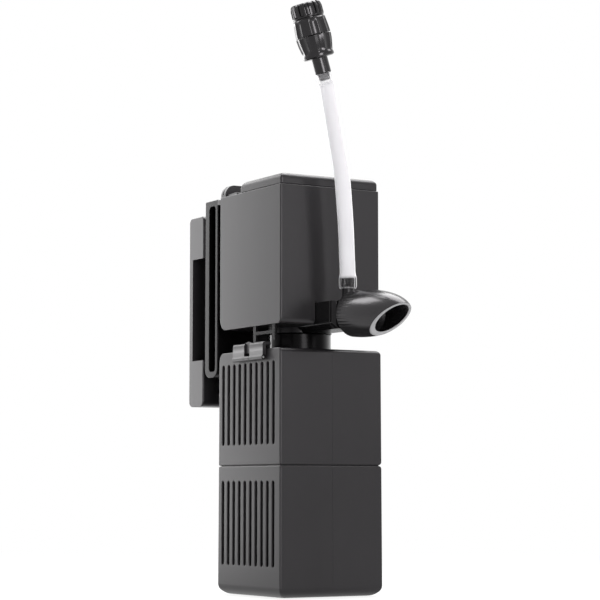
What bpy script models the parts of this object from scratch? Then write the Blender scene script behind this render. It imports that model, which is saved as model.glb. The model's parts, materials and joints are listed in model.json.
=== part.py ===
"""Submersible modular aquarium filter.

A boxed pump head stands on two slotted media modules. Its outlet carries a venturi nipple with a clear air
hose and a regulating valve, and an egg-shaped nozzle on a ball. A rail at the back takes a glass holder.

Axes: +Z up, the outlet looks along -Y, the origin is the centre of the base that the filter stands on.
"""

import math

import bmesh
import bpy
from mathutils import Matrix, Vector

MM = 0.001
GAP = 0.3 * MM

# Media modules
BODY_WIDTH = 68.4 * MM
BODY_DEPTH = 72.4 * MM
LOWER_HEIGHT = 75.0 * MM
UPPER_HEIGHT = 66.7 * MM
FLARE_WIDTH = 0.3 * MM
FLARE_DEPTH = 0.5 * MM
MODULE_WALL = 2.4 * MM
FLOOR_THICKNESS = 2.8 * MM
DECK_THICKNESS = 2.4 * MM
BASE_FILLET = 6.0 * MM
UPPER_TOP_FILLET = 2.6 * MM
CORNER_RADIUS = 1.0 * MM
SEAM_NOTCH_HEIGHT = 0.8 * MM
SEAM_NOTCH_DEPTH = 0.8 * MM
LIP_THICKNESS = 1.0 * MM
LIP_HEIGHT = 3.3 * MM
LEDGE_WIDTH = 1.4 * MM
LEDGE_THICKNESS = 1.7 * MM
SLOT_COUNT = 10
SLOT_WIDTH = 2.9 * MM
SLOT_SIDE_MARGIN = 6.23 * MM
LOWER_SLOT_BOTTOM = 17.2 * MM
LOWER_SLOT_TOP = 66.3 * MM
UPPER_SLOT_BOTTOM = 11.7 * MM
UPPER_SLOT_TOP = 59.4 * MM
GRATE_THICKNESS = 1.8 * MM
GRATE_BARS = 10
GRATE_SLOT = 3.2 * MM
SPONGE_BORE = 9.0 * MM
SPONGE_CLEARANCE = 0.5 * MM

# Pump head
NECK_GAP = 13.7 * MM
HEAD_WIDTH = 66.8 * MM
HEAD_HEIGHT = 80.3 * MM
HEAD_SHIFT = -0.5 * MM
HEAD_WALL = 2.2 * MM
HEAD_REAR_FILLET = 7.0 * MM
HEAD_FRONT_FILLET = 3.5 * MM
HEAD_SIDE_FILLET = 0.6 * MM
HEAD_TOP_CHAMFER = 0.5 * MM
LID_HEIGHT = 6.3 * MM
LID_INSET = 0.6 * MM
LID_WALL = 2.0 * MM
LID_REAR_Y = 12.5 * MM
LID_FILLET = 3.0 * MM
LID_REAR_FILLET = 5.0 * MM
LID_SKIRT = 4.8 * MM
CORE_COVER_DROP = 10.0 * MM
CORE_COVER_THICKNESS = 3.0 * MM
HOOK_LENGTH = 3.4 * MM
HOOK_HEIGHT = 3.0 * MM
HOOK_WIDTH = 3.4 * MM

# Cable gland
GLAND_LEFT = -30.6 * MM
GLAND_WIDTH = 18.6 * MM
GLAND_HEIGHT = 8.0 * MM
GLAND_LENGTH = 5.8 * MM
GLAND_RADIUS = 6.3 * MM
GLAND_TONGUE = 12.0 * MM
GLAND_TONGUE_HEIGHT = 2.0 * MM
GLAND_GROOVE = 1.0 * MM
GLAND_BORE = 3.0 * MM

# Neck, pump chamber and outlet
NECK_RADIUS = 18.8 * MM
NECK_WALL = 2.2 * MM
NECK_DEPTH = 4.4 * MM
NECK_DISC = 2.4 * MM
INLET_COUNT = 4
INLET_SPOKE = 3.0 * MM
INLET_RIM = 1.6 * MM
INLET_HUB = 2.0 * MM
SEAL_RADIUS = 0.6 * MM
SEAL_SQUEEZE_GAP = 0.25 * MM
CHAMBER_WALL = 3.5 * MM
OUTLET_X = 0.8 * MM
DUCT_WIDTH = 23.0 * MM
DUCT_HEIGHT = 16.0 * MM
DUCT_DROP = 3.4 * MM
DUCT_OVERHANG = 15.2 * MM
DUCT_CHAMFER = 3.0 * MM
DUCT_BORE_WIDTH = 17.0 * MM
DUCT_BORE_HEIGHT = 10.4 * MM
SOCKET_LENGTH = 4.2 * MM
SOCKET_CHAMFER = 2.0 * MM
BALL_RADIUS = 8.5 * MM
BALL_STANDOFF = 8.6 * MM
BALL_NECK_RADIUS = 5.6 * MM
BALL_BORE = 4.2 * MM

# Rotor and motor
SHAFT_RADIUS = 1.2 * MM
SHAFT_CLEARANCE = 0.25 * MM
BUSH_RADIUS = 2.1 * MM
BUSH_LENGTH = 4.0 * MM
BUSH_TOP_LENGTH = 2.3 * MM
BOSS_RADIUS = 4.5 * MM
BOSS_HEIGHT = 6.0 * MM
CAN_FLANGE = 2.0 * MM
CAN_CLEARANCE = 0.7 * MM
CAN_WALL = 1.2 * MM
CAN_HEIGHT = 37.0 * MM
CAN_TOP = 2.4 * MM
MAGNET_RADIUS = 8.5 * MM
MAGNET_END_GAP = 2.1 * MM
IMPELLER_BLADES = 6
IMPELLER_TIP_GAP = 2.5 * MM
IMPELLER_CLEARANCE = 3.0 * MM
BLADE_THICKNESS = 1.6 * MM
HUB_RADIUS = 3.2 * MM
HUB_DISC = 2.4 * MM
CORE_WIDTH = 42.0 * MM
COIL_CLEARANCE = 3.2 * MM
CORE_FRONT = 11.0 * MM
CORE_STACK = 16.0 * MM
CORE_FOOT = 10.4 * MM
CORE_WINDOW_WIDTH = 22.0 * MM
POLE_DEPTH = 13.5 * MM
YOKE_WIDTH = 9.0 * MM
POLE_SPLIT = 4.0 * MM
COIL_THICKNESS = 3.5 * MM
COIL_LENGTH = 21.2 * MM

# Nozzle
NOZZLE_REST_SWIVEL = math.radians(8.0)
NOZZLE_REST_DROOP = math.radians(1.5)
EGG_RADIUS = 13.4 * MM
EGG_HALF_LENGTH = 36.8 * MM
EGG_CENTRE = 5.3 * MM
EGG_REAR = 5.0 * MM
EGG_WALL = 1.9 * MM
MOUTH_SLOPE = math.radians(56.0)
MOUTH_DISTANCE = 16.5 * MM
GRIP_GROOVE_COUNT = 18
GRIP_DEPTH = 0.35 * MM
GRIP_LENGTH = 9.0 * MM
SEAT_LENGTH = 10.6 * MM
SEAT_WALL = 1.6 * MM

# Venturi nipple, air hose and valve
NIPPLE_RADIUS = 3.3 * MM
NIPPLE_SETBACK = 2.6 * MM
NIPPLE_FOOT_RADIUS = 2.1 * MM
NIPPLE_CONE_HEIGHT = 2.4 * MM
NIPPLE_COLLAR_RADIUS = 4.0 * MM
NIPPLE_COLLAR_FOOT = 8.3 * MM
NIPPLE_COLLAR_HEIGHT = 4.8 * MM
NIPPLE_BORE = 1.2 * MM
NIPPLE_RIBS = 12
NIPPLE_RIB_DEPTH = 0.35 * MM
HOSE_RADIUS = 4.55 * MM
HOSE_POINT_STEP = 9.0 * MM
HOSE_HEIGHT = 112.4 * MM
HOSE_LEAN = 14.97 * MM
HOSE_SHARES = ((0.04, 0.1183), (0.08, 0.2518), (0.15, 0.3763), (0.24, 0.508), (0.421, 0.6415), (0.6546, 0.7954), (0.8818, 0.9493))
VALVE_TILT = math.radians(17.45)
STEM_RADIUS = 4.8 * MM
STEM_LENGTH = 13.3 * MM
BARREL_RADIUS = 10.2 * MM
BARREL_LENGTH = 12.8 * MM
FLANGE_RADIUS = 8.9 * MM
CAP_RADIUS = 9.2 * MM
CAP_LENGTH = 18.9 * MM
CAP_GROOVE = 9.8 * MM
FLUTES = 12
FLUTE_DEPTH = 1.1 * MM
NEEDLE_RADIUS = 2.0 * MM
NEEDLE_LENGTH = 12.0 * MM

# Latches
LATCH_PIVOT_OUT = 1.8 * MM
LATCH_PIVOT_DROP = 4.9 * MM
LATCH_KNUCKLE = 1.5 * MM
LATCH_PIN = 0.6 * MM
LATCH_BORE = 0.85 * MM
LATCH_THICKNESS = 2.2 * MM
LATCH_TOP = 4.0 * MM
LATCH_REAR_LEAF = 13.4 * MM
LATCH_FRONT_LEAF = 15.4 * MM
LATCH_GROOVE = 6.2 * MM
LATCH_FORWARD = 1.9 * MM
LATCH_ARM_THICKNESS = 2.1 * MM
LATCH_ARM_REACH = 3.1 * MM
CATCH_THICKNESS = 1.6 * MM
CATCH_INSET = 1.0 * MM
CATCH_LEG_WIDTH = 3.2 * MM
CATCH_FORWARD = 2.9 * MM
CATCH_LENGTH = 25.1 * MM
CATCH_FOOT_LENGTH = 12.9 * MM
CATCH_TIP = 4.0 * MM
ARM_MARGIN = 1.9 * MM
CATCH_FOOT = 1.4 * MM
CATCH_FOOT_GAP = 0.4 * MM
CATCH_BAR_DROP = 3.3 * MM
CATCH_BAR = 1.8 * MM

# Rail and glass holder
RAIL_WIDTH = 66.0 * MM
RAIL_STANDOFF = 4.5 * MM
RAIL_TOP_DROP = 0.2 * MM
RAIL_DEPTH = 15.6 * MM
RAIL_HEIGHT = 107.5 * MM
RAIL_CORNER = 5.5 * MM
RAIL_FLANGE_FRONT = 2.6 * MM
RAIL_FLANGE_REAR = 4.9 * MM
RAIL_END_WALL = 3.5 * MM
RAIL_POCKET_DEPTH = 14.0 * MM
RAIL_POCKET_CORNER = 2.6 * MM
RAIL_GROOVE_WIDTH = 45.0 * MM
RAIL_GROOVE_DEPTH = 2.0 * MM
RAIL_PAD_WIDTH = 40.0 * MM
RAIL_PAD_HEIGHT = 10.0 * MM
TEE_OPENING = 16.0 * MM
TEE_WIDTH = 26.0 * MM
TEE_THICKNESS = 4.4 * MM
TEE_LIP = 4.0 * MM
TEE_FLOOR = 5.5 * MM
KEY_FOOT = 32.0 * MM
KEY_LENGTH = 45.0 * MM
HOLDER_WIDTH = 66.0 * MM
HOLDER_STANDOFF = 2.3 * MM
HOLDER_DROP = 16.8 * MM
HOLDER_DEPTH = 18.4 * MM
HOLDER_HEIGHT = 116.3 * MM
HOLDER_CORNER = 3.2 * MM
WAIST_FOOT = 28.0 * MM
WAIST_HEIGHT = 62.4 * MM
WAIST_BACK = 4.6 * MM
WAIST_DEPTH = 14.0 * MM
WAIST_CORNER = 7.0 * MM
CUP_WELL_RADIUS = 11.2 * MM
CUP_WELL_DEPTH = 9.0 * MM
CUP_OUT = 19.0 * MM
CUP_MARGIN = 12.9 * MM
CUP_RADIUS = 10.2 * MM
CUP_THICKNESS = 1.3 * MM
CUP_PROUD = 0.7 * MM
CUP_NECK = 3.0 * MM
CUP_BUTTON = 4.6 * MM
CUP_BUTTON_HEIGHT = 2.4 * MM
CUP_FLOOR = 2.2 * MM
CUP_POCKET = 6.0 * MM

# Heights that the assembly works out
MODULE_SEAM = LOWER_HEIGHT
UPPER_FOOT = LOWER_HEIGHT + GAP
UPPER_TOP = UPPER_FOOT + UPPER_HEIGHT
HEAD_FOOT = UPPER_TOP + NECK_GAP
HEAD_TOP = HEAD_FOOT + HEAD_HEIGHT
DUCT_FOOT = HEAD_FOOT - DUCT_DROP
DUCT_TOP = DUCT_FOOT + DUCT_HEIGHT
OUTLET_Z = DUCT_FOOT + DUCT_HEIGHT / 2
NECK_TOP = DUCT_FOOT - GAP
CAN_FOOT = DUCT_TOP + GAP
DUCT_REACH = BODY_DEPTH / 2 + DUCT_OVERHANG
SOCKET_FRONT = DUCT_REACH + GAP + SOCKET_LENGTH
BALL_FORWARD = SOCKET_FRONT + BALL_STANDOFF
NIPPLE_FORWARD = DUCT_REACH + NIPPLE_SETBACK
CHAMBER_RADIUS = NECK_RADIUS + GAP
CAN_RADIUS = MAGNET_RADIUS + CAN_CLEARANCE + CAN_WALL
IMPELLER_RADIUS = CHAMBER_RADIUS - CHAMBER_WALL - IMPELLER_TIP_GAP
CORE_BACK = BODY_DEPTH / 2 - HEAD_WALL - COIL_CLEARANCE - COIL_THICKNESS - GAP
CAVITY_X = BODY_WIDTH / 2 - MODULE_WALL
CAVITY_Y = BODY_DEPTH / 2 - MODULE_WALL
SLOT_PITCH = (BODY_DEPTH - 2 * SLOT_SIDE_MARGIN) / (SLOT_COUNT - 1)
LATCH_FRONT = (-LATCH_FORWARD - LATCH_GROOVE / 2 - LATCH_FRONT_LEAF, -LATCH_FORWARD - LATCH_GROOVE / 2)
LATCH_REAR = (-LATCH_FORWARD + LATCH_GROOVE / 2, -LATCH_FORWARD + LATCH_GROOVE / 2 + LATCH_REAR_LEAF)
CATCH_SPAN = (-CATCH_FORWARD - CATCH_LENGTH, -CATCH_FORWARD)
RAIL_BOTTOM_Z = HEAD_TOP - RAIL_TOP_DROP - RAIL_HEIGHT
RAIL_FRONT_Y = BODY_DEPTH / 2 + RAIL_STANDOFF
HOLDER_BOTTOM_Z = RAIL_BOTTOM_Z - HOLDER_DROP
RAIL_BACK_Y = RAIL_FRONT_Y + RAIL_DEPTH
HOLDER_FRONT_Y = RAIL_BACK_Y + HOLDER_STANDOFF
HOLDER_BACK_Y = HOLDER_FRONT_Y + HOLDER_DEPTH
SIDES = {"left": -1, "right": 1}
LATCH_SIDE = SIDES["left"]


# ---------------------------------------------------------------- shapes


def bm_to_object(name, bm, material=None):
    """Turns a bmesh into a linked object with outward normals and smooth shading."""
    bmesh.ops.recalc_face_normals(bm, faces=bm.faces)
    mesh = bpy.data.meshes.new(name)
    bm.to_mesh(mesh)
    bm.free()
    mesh.shade_smooth()
    mesh.set_sharp_from_angle(angle=math.radians(32))
    if material:
        mesh.materials.append(material)
    obj = bpy.data.objects.new(name, mesh)
    bpy.context.scene.collection.objects.link(obj)
    return obj


def lofted(name, rings, material=None):
    """Skins closed rings that hold equally many points, and caps both ends."""
    bm = bmesh.new()
    rows = [[bm.verts.new(point) for point in ring] for ring in rings]
    for lower, upper in zip(rows, rows[1:]):
        for i in range(len(lower)):
            bm.faces.new((lower[i - 1], lower[i], upper[i], upper[i - 1]))
    bm.faces.new(rows[0])
    bm.faces.new(rows[-1])
    return bm_to_object(name, bm, material)


def turned(name, profile, segments, material=None, ring=False):
    """Turns a profile of (radius, height) about Z; a ring's profile closes on itself."""
    bm = bmesh.new()
    rows = []
    for radius, height in profile:
        if radius < 1e-9:
            rows.append([bm.verts.new((0, 0, height))] * segments)
            continue
        angles = (2 * math.pi * i / segments for i in range(segments))
        rows.append([bm.verts.new((radius * math.cos(a), radius * math.sin(a), height)) for a in angles])
    following = rows[1:] + rows[:1] if ring else rows[1:]
    for one, two in zip(rows, following):
        for i in range(segments):
            corners = list(dict.fromkeys((one[i - 1], one[i], two[i], two[i - 1])))
            bm.faces.new(corners)
    return bm_to_object(name, bm, material)


def rounded_outline(low, high, radii, steps=3):
    """The points of a rectangle whose corners, from the low one round, have these radii."""
    corners = [(low[0], low[1], 1, 1), (high[0], low[1], -1, 1), (high[0], high[1], -1, -1), (low[0], high[1], 1, -1)]
    points = []
    for turn, ((x, y, sx, sy), radius) in enumerate(zip(corners, radii)):
        if radius <= 0:
            points.append((x, y))
            continue
        for i in range(steps + 1):
            angle = math.pi * (1 + turn / 2 + i / (2 * steps))
            points.append((x + radius * (sx + math.cos(angle)), y + radius * (sy + math.sin(angle))))
    return points


def along(axis, outline, at):
    """Sets an outline of two coordinates across an axis, at one place along it."""
    if axis == "X":
        return [Vector((at, u, v)) for u, v in outline]
    if axis == "Y":
        return [Vector((u, at, v)) for u, v in outline]
    return [Vector((u, v, at)) for u, v in outline]


def prism(name, axis, outline, start, end, material=None):
    return lofted(name, [along(axis, outline, start), along(axis, outline, end)], material)


def block(name, low, high, material=None):
    outline = [(low[0], low[1]), (high[0], low[1]), (high[0], high[1]), (low[0], high[1])]
    return prism(name, "Z", outline, low[2], high[2], material)


def rod(name, radius, start, end, segments=16, material=None):
    """A cylinder along one of the axes, between two points."""
    axis = max(range(3), key=lambda i: abs(end[i] - start[i]))
    u, v = (start[i] for i in range(3) if i != axis)
    angles = [2 * math.pi * i / segments for i in range(segments)]
    outline = [(u + radius * math.cos(a), v + radius * math.sin(a)) for a in angles]
    return prism(name, "XYZ"[axis], outline, start[axis], end[axis], material)


def moved(obj, matrix):
    """Moves the mesh itself, so that the object keeps its own place."""
    obj.data.transform(matrix)
    return obj


def shifted(obj, x, y, z):
    return moved(obj, Matrix.Translation((x, y, z)))


def combined(obj, operation, tools):
    """Cuts tools from an object, or joins them to it, and removes them."""
    for tool in tools:
        tool.hide_render = True
        tool.display_type = "WIRE"
        change = obj.modifiers.new(tool.name, "BOOLEAN")
        change.operation = operation
        change.object = tool
    graph = bpy.context.evaluated_depsgraph_get()
    mesh = bpy.data.meshes.new_from_object(obj.evaluated_get(graph))
    old = obj.data
    obj.modifiers.clear()
    obj.data = mesh
    bpy.data.meshes.remove(old)
    mesh.name = obj.name
    mesh.set_sharp_from_angle(angle=math.radians(32))
    for tool in tools:
        shape = tool.data
        bpy.data.objects.remove(tool)
        bpy.data.meshes.remove(shape)
    return obj


def cut(obj, *tools):
    return combined(obj, "DIFFERENCE", tools)


def fused(obj, *tools):
    return combined(obj, "UNION", tools)


def edge_inset(height, radius):
    """How far a rounded edge stands in from its face, at a height above the edge's foot."""
    if radius <= 0 or height >= radius:
        return 0.0
    return radius - math.sqrt(radius**2 - (radius - height) ** 2)


def edge_heights(radii, steps=4):
    """Heights that follow rounded edges of several radii closely enough."""
    heights = {0.0}
    for radius in radii:
        heights |= {radius * (1 - math.cos(math.pi / 2 * i / steps)) for i in range(steps + 1)}
    return sorted(heights)


def fillet_box(name, low, high, corner, foot=(0, 0, 0), top=(0, 0, 0), material=None):
    """A box with rounded vertical corners; foot and top give the radii at its sides, front and rear."""
    height = high[2] - low[2]
    levels = {h for h in edge_heights(foot) if h < height / 2}
    levels |= {height - h for h in edge_heights(top) if h < height / 2}
    levels |= {0.0, height}
    rings = []
    for level in sorted(levels):
        side, front, rear = (
            edge_inset(level, below) + edge_inset(height - level, above) for below, above in zip(foot, top)
        )
        outline = rounded_outline((low[0] + side, low[1] + front), (high[0] - side, high[1] - rear), [corner] * 4, 2)
        rings.append(along("Z", outline, low[2] + level))
    return lofted(name, rings, material)


def stadium(y, width, bottom, top, steps=3):
    """The outline of an upright slot with round ends, in Y and Z."""
    radius = width / 2
    ends = [(top - radius, 0), (bottom + radius, math.pi)]
    return [
        (y + radius * math.cos(start + math.pi * i / steps), z + radius * math.sin(start + math.pi * i / steps))
        for z, start in ends
        for i in range(steps + 1)
    ]


def paint(name, colour, roughness, metallic=0.0, alpha=1.0):
    material = bpy.data.materials.new(name)
    material.use_nodes = True
    shader = material.node_tree.nodes["Principled BSDF"]
    shader.inputs["Base Color"].default_value = (*colour, 1)
    shader.inputs["Roughness"].default_value = roughness
    shader.inputs["Metallic"].default_value = metallic
    shader.inputs["Alpha"].default_value = alpha
    material.diffuse_color = (*colour, alpha)
    return material


def pivot(name, point, *objects):
    """Hangs the pieces of one moving body on an empty at its joint."""
    empty = bpy.data.objects.new(name, None)
    empty.location = point
    empty.empty_display_size = 10 * MM
    bpy.context.scene.collection.objects.link(empty)
    for obj in objects:
        obj.data.transform(Matrix.Translation(-Vector(point)))
        obj.parent = empty
    return empty


# ---------------------------------------------------------------- media modules


def slots(name, foot, bottom, top):
    """Cutters for the rows of slots in both side walls of a module."""
    first = -SLOT_PITCH * (SLOT_COUNT - 1) / 2
    places = [first + SLOT_PITCH * i for i in range(SLOT_COUNT)]
    reach = BODY_WIDTH / 2 + MODULE_WALL
    return [
        prism(f"{name}_{i}", "X", stadium(y, SLOT_WIDTH, foot + bottom, foot + top), -reach, reach)
        for i, y in enumerate(places)
    ]


def cavity(name, low, high, inset=0.0):
    """A cutter that leaves a module's walls, or stands in from them by an inset."""
    x, y = CAVITY_X - inset, CAVITY_Y - inset
    return block(name, (-x, -y, low), (x, y, high))


def module_shell(name, foot, height, foot_radii, top_radii, material):
    """A module's outside, which widens a little towards the floor."""
    x, y = BODY_WIDTH / 2, BODY_DEPTH / 2
    shell = fillet_box(name, (-x, -y, foot), (x, y, foot + height), CORNER_RADIUS, foot_radii, top_radii, material)
    for vertex in shell.data.vertices:
        share = 1 - vertex.co.z / UPPER_TOP
        vertex.co.x += math.copysign(FLARE_WIDTH * share, vertex.co.x)
        vertex.co.y += math.copysign(FLARE_DEPTH * share, vertex.co.y)
    return shell


def seam_notch(name, height, upward):
    """A ring-shaped cutter that chamfers a module's edge at the seam."""
    x, y = BODY_WIDTH / 2, BODY_DEPTH / 2
    reach = 3 * MM
    step = SEAM_NOTCH_HEIGHT if upward else -SEAM_NOTCH_HEIGHT

    def ring(out, at):
        outline = rounded_outline((-x - out, -y - out), (x + out, y + out), [CORNER_RADIUS] * 4, 2)
        return along("Z", outline, at)

    outer = lofted(name, [ring(reach, height - 2 * step), ring(reach, height + step)])
    slope = SEAM_NOTCH_DEPTH / SEAM_NOTCH_HEIGHT
    rings = [ring(-SEAM_NOTCH_DEPTH - 2 * slope * abs(step), height - 2 * step), ring(0, height + step)]
    return cut(outer, lofted("seam_core", rings))


def lower_module(material):
    radii = (BASE_FILLET, BASE_FILLET, BASE_FILLET)
    shell = module_shell("lower_module", 0, LOWER_HEIGHT, radii, (0, 0, 0), material)
    cut(shell, seam_notch("top_notch", LOWER_HEIGHT, False))
    x, y = CAVITY_X + LIP_THICKNESS, CAVITY_Y + LIP_THICKNESS
    fused(shell, block("lip", (-x, -y, LOWER_HEIGHT - 9 * MM), (x, y, LOWER_HEIGHT + LIP_HEIGHT)))
    cut(shell, cavity("bowl", FLOOR_THICKNESS, LOWER_HEIGHT + 2 * LIP_HEIGHT))
    return cut(shell, *slots("slot", 0, LOWER_SLOT_BOTTOM, LOWER_SLOT_TOP))


def latch_pivot(side):
    return Vector((side * (BODY_WIDTH / 2 + LATCH_PIVOT_OUT), 0, UPPER_TOP - LATCH_PIVOT_DROP))


def latch_lug(side):
    """The knuckle on the module's wall that the latch pin goes through."""
    centre = latch_pivot(side)
    start, end = LATCH_FRONT[1] + 2 * GAP, LATCH_REAR[0] - 2 * GAP
    inner, outer = side * (BODY_WIDTH / 2 - 1 * MM), centre.x
    foot = block(
        "lug_foot",
        (min(inner, outer), start, centre.z - LATCH_KNUCKLE),
        (max(inner, outer), end, centre.z + LATCH_KNUCKLE),
    )
    knuckle = rod("lug_knuckle", LATCH_KNUCKLE, (centre.x, start, centre.z), (centre.x, end, centre.z), 12)
    return fused(foot, knuckle)


def latch_bore(side):
    centre = latch_pivot(side)
    reach = BODY_DEPTH / 2
    return rod("latch_bore", LATCH_BORE, (centre.x, -reach, centre.z), (centre.x, reach, centre.z), 12)


def upper_module(material):
    foot_radii = (0, 0, 0)
    top_radii = (HEAD_SIDE_FILLET, UPPER_TOP_FILLET, UPPER_TOP_FILLET * 2)
    shell = module_shell("upper_module", UPPER_FOOT, UPPER_HEIGHT, foot_radii, top_radii, material)
    cut(shell, seam_notch("foot_notch", UPPER_FOOT, True))
    lip_top = UPPER_FOOT + LIP_HEIGHT
    ledge_top = lip_top + LEDGE_THICKNESS
    cut(
        shell,
        cavity("bowl", ledge_top, UPPER_TOP - DECK_THICKNESS),
        cavity("ledge_hole", lip_top - 1 * MM, ledge_top + 1 * MM, LEDGE_WIDTH),
        cavity("rebate", UPPER_FOOT - 1 * MM, lip_top, -LIP_THICKNESS - GAP),
    )
    hole = NECK_RADIUS + 0.7 * MM
    cut(shell, rod("neck_hole", hole, (0, 0, UPPER_TOP - 2 * DECK_THICKNESS), (0, 0, UPPER_TOP + DECK_THICKNESS), 32))
    cut(shell, *slots("slot", UPPER_FOOT, UPPER_SLOT_BOTTOM, UPPER_SLOT_TOP))
    fused(shell, latch_lug(LATCH_SIDE))
    return cut(shell, latch_bore(LATCH_SIDE))


def media_grate(material):
    """The slotted plate that carries the upper sponge on the module's ledge."""
    foot = UPPER_FOOT + LIP_HEIGHT + LEDGE_THICKNESS + GAP
    x, y = CAVITY_X - GAP, CAVITY_Y - GAP
    plate = block("media_grate", (-x, -y, foot), (x, y, foot + GRATE_THICKNESS), material)
    pitch = 2 * (y - GRATE_SLOT) / GRATE_BARS
    reach = x - 4 * MM
    bars = []
    for i in range(GRATE_BARS):
        middle = -y + GRATE_SLOT + pitch * (i + 0.5)
        low = (-reach, middle - GRATE_SLOT / 2, foot - 1 * MM)
        high = (reach, middle + GRATE_SLOT / 2, foot + GRATE_THICKNESS + 1 * MM)
        bars.append(block("grate_slot", low, high))
    return cut(plate, *bars)


def sponge(name, foot, top, material):
    """A foam block with a suction channel up its middle."""
    x, y = CAVITY_X - SPONGE_CLEARANCE, CAVITY_Y - SPONGE_CLEARANCE
    foam = fillet_box(name, (-x, -y, foot), (x, y, top), 2 * MM, material=material)
    return cut(foam, rod("channel", SPONGE_BORE, (0, 0, foot - 1 * MM), (0, 0, top + 1 * MM), 16))


def latch(name, side, material):
    """A clip of two leaves that turns on a pin and hooks the head's catch."""
    centre = latch_pivot(side)
    inner = BODY_WIDTH / 2 + GAP
    outer = inner + LATCH_THICKNESS
    top = UPPER_TOP + LATCH_TOP
    leaf_outline = rounded_outline((inner, centre.z), (outer, top), [0, 0, 1.4 * MM, 0], 3)
    spans = (LATCH_REAR, LATCH_FRONT)
    body = prism(name, "Y", leaf_outline, *LATCH_REAR, material)
    web_low = (inner, LATCH_FRONT[1] - 1 * MM, centre.z + 2 * LATCH_KNUCKLE)
    web_high = (inner + LATCH_THICKNESS / 2, LATCH_REAR[0] + 1 * MM, top + 0.8 * MM)
    arm_low = (BODY_WIDTH / 2 - LATCH_ARM_REACH, LATCH_FRONT[0] + 0.02 * MM, top - LATCH_ARM_THICKNESS + 0.2 * MM)
    arm_high = (inner + 1 * MM, CATCH_SPAN[1] - CATCH_LEG_WIDTH - ARM_MARGIN, top + 0.2 * MM)
    fused(
        body,
        prism("front_leaf", "Y", leaf_outline, *LATCH_FRONT),
        block("web", web_low, web_high),
        block("arm", arm_low, arm_high),
        *(
            rod("knuckle", LATCH_KNUCKLE, (abs(centre.x), start, centre.z), (abs(centre.x), end, centre.z), 12)
            for start, end in spans
        ),
    )
    cut(body, latch_bore(1))
    if side < 0:
        moved(body, Matrix.Scale(-1, 4, (1, 0, 0)))
        body.data.flip_normals()
    return body


def latch_pin(name, side, material):
    centre = latch_pivot(side)
    start, end = LATCH_FRONT[0] + 0.5 * MM, LATCH_REAR[1] - 0.5 * MM
    return rod(name, LATCH_PIN, (centre.x, start, centre.z), (centre.x, end, centre.z), 12, material)


# ---------------------------------------------------------------- pump head


def catch_frame(side):
    """The open frame under the head's side wall: the latch hooks over its foot bar."""
    outer = HEAD_WIDTH / 2 - CATCH_INSET + 0.6 * MM
    inner = outer - CATCH_THICKNESS
    x0, x1 = sorted((side * inner, side * outer))
    foot = UPPER_TOP + CATCH_FOOT_GAP
    embedded = HEAD_FOOT + HEAD_WALL / 2
    start, end = CATCH_SPAN
    frame = block("catch", (x0, start, foot), (x1, end, embedded))
    inside, outside = x0 - 1 * MM, x1 + 1 * MM
    leg = end - CATCH_LEG_WIDTH
    bar_foot, bar_top = HEAD_FOOT - CATCH_BAR_DROP - CATCH_BAR, HEAD_FOOT - CATCH_BAR_DROP
    window = block("catch_window", (inside, start + CATCH_LEG_WIDTH, foot + CATCH_FOOT), (outside, leg, bar_foot))
    gap = block("catch_gap", (inside, start - 1 * MM, bar_top), (outside, leg, HEAD_FOOT + HEAD_WALL))
    below = block(
        "catch_front", (inside, start - 1 * MM, foot - 1 * MM), (outside, leg - CATCH_FOOT_LENGTH, bar_foot - CATCH_TIP)
    )
    return cut(frame, window, gap, below)


def head_housing(material):
    x, y = HEAD_WIDTH / 2, BODY_DEPTH / 2
    foot = (HEAD_SIDE_FILLET, HEAD_FRONT_FILLET, HEAD_REAR_FILLET)
    top = (HEAD_TOP_CHAMFER, HEAD_TOP_CHAMFER, HEAD_TOP_CHAMFER)
    shell = fillet_box("head_housing", (-x, -y, HEAD_FOOT), (x, y, HEAD_TOP), CORNER_RADIUS, foot, top, material)
    inside = fillet_box(
        "inside",
        (-x + HEAD_WALL, -y + HEAD_WALL, HEAD_FOOT + HEAD_WALL),
        (x - HEAD_WALL, y - HEAD_WALL, HEAD_TOP + 5 * MM),
        CORNER_RADIUS / 3,
        (0.01 * MM, HEAD_FRONT_FILLET - HEAD_WALL, HEAD_REAR_FILLET - HEAD_WALL),
    )
    cut(shell, inside)
    shifted(shell, HEAD_SHIFT, 0, 0)
    for side in SIDES.values():
        hook_low = (x - HOOK_WIDTH, y - 1 * MM, HEAD_TOP - 2 * HEAD_TOP_CHAMFER - HOOK_HEIGHT)
        hook_high = (x, y + HOOK_LENGTH, HEAD_TOP - 2 * HEAD_TOP_CHAMFER)
        hook = block("rail_hook", hook_low, hook_high)
        shifted(hook, HEAD_SHIFT + (HOOK_WIDTH - 2 * x if side < 0 else 0), 0, 0)
        fused(shell, hook)
    fused(shell, catch_frame(LATCH_SIDE))
    hole_top = HEAD_FOOT + 2 * HEAD_WALL
    duct_x = DUCT_WIDTH / 2 + GAP
    notch_low = (OUTLET_X - duct_x, -y - 1 * MM, HEAD_FOOT - 1 * MM)
    notch_high = (OUTLET_X + duct_x, -CHAMBER_RADIUS / 2, DUCT_TOP + GAP)
    cut(
        shell,
        rod("chamber_hole", CHAMBER_RADIUS + GAP, (0, 0, HEAD_FOOT - 1 * MM), (0, 0, hole_top), 32),
        block("duct_notch", notch_low, notch_high),
    )
    return shell


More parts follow.
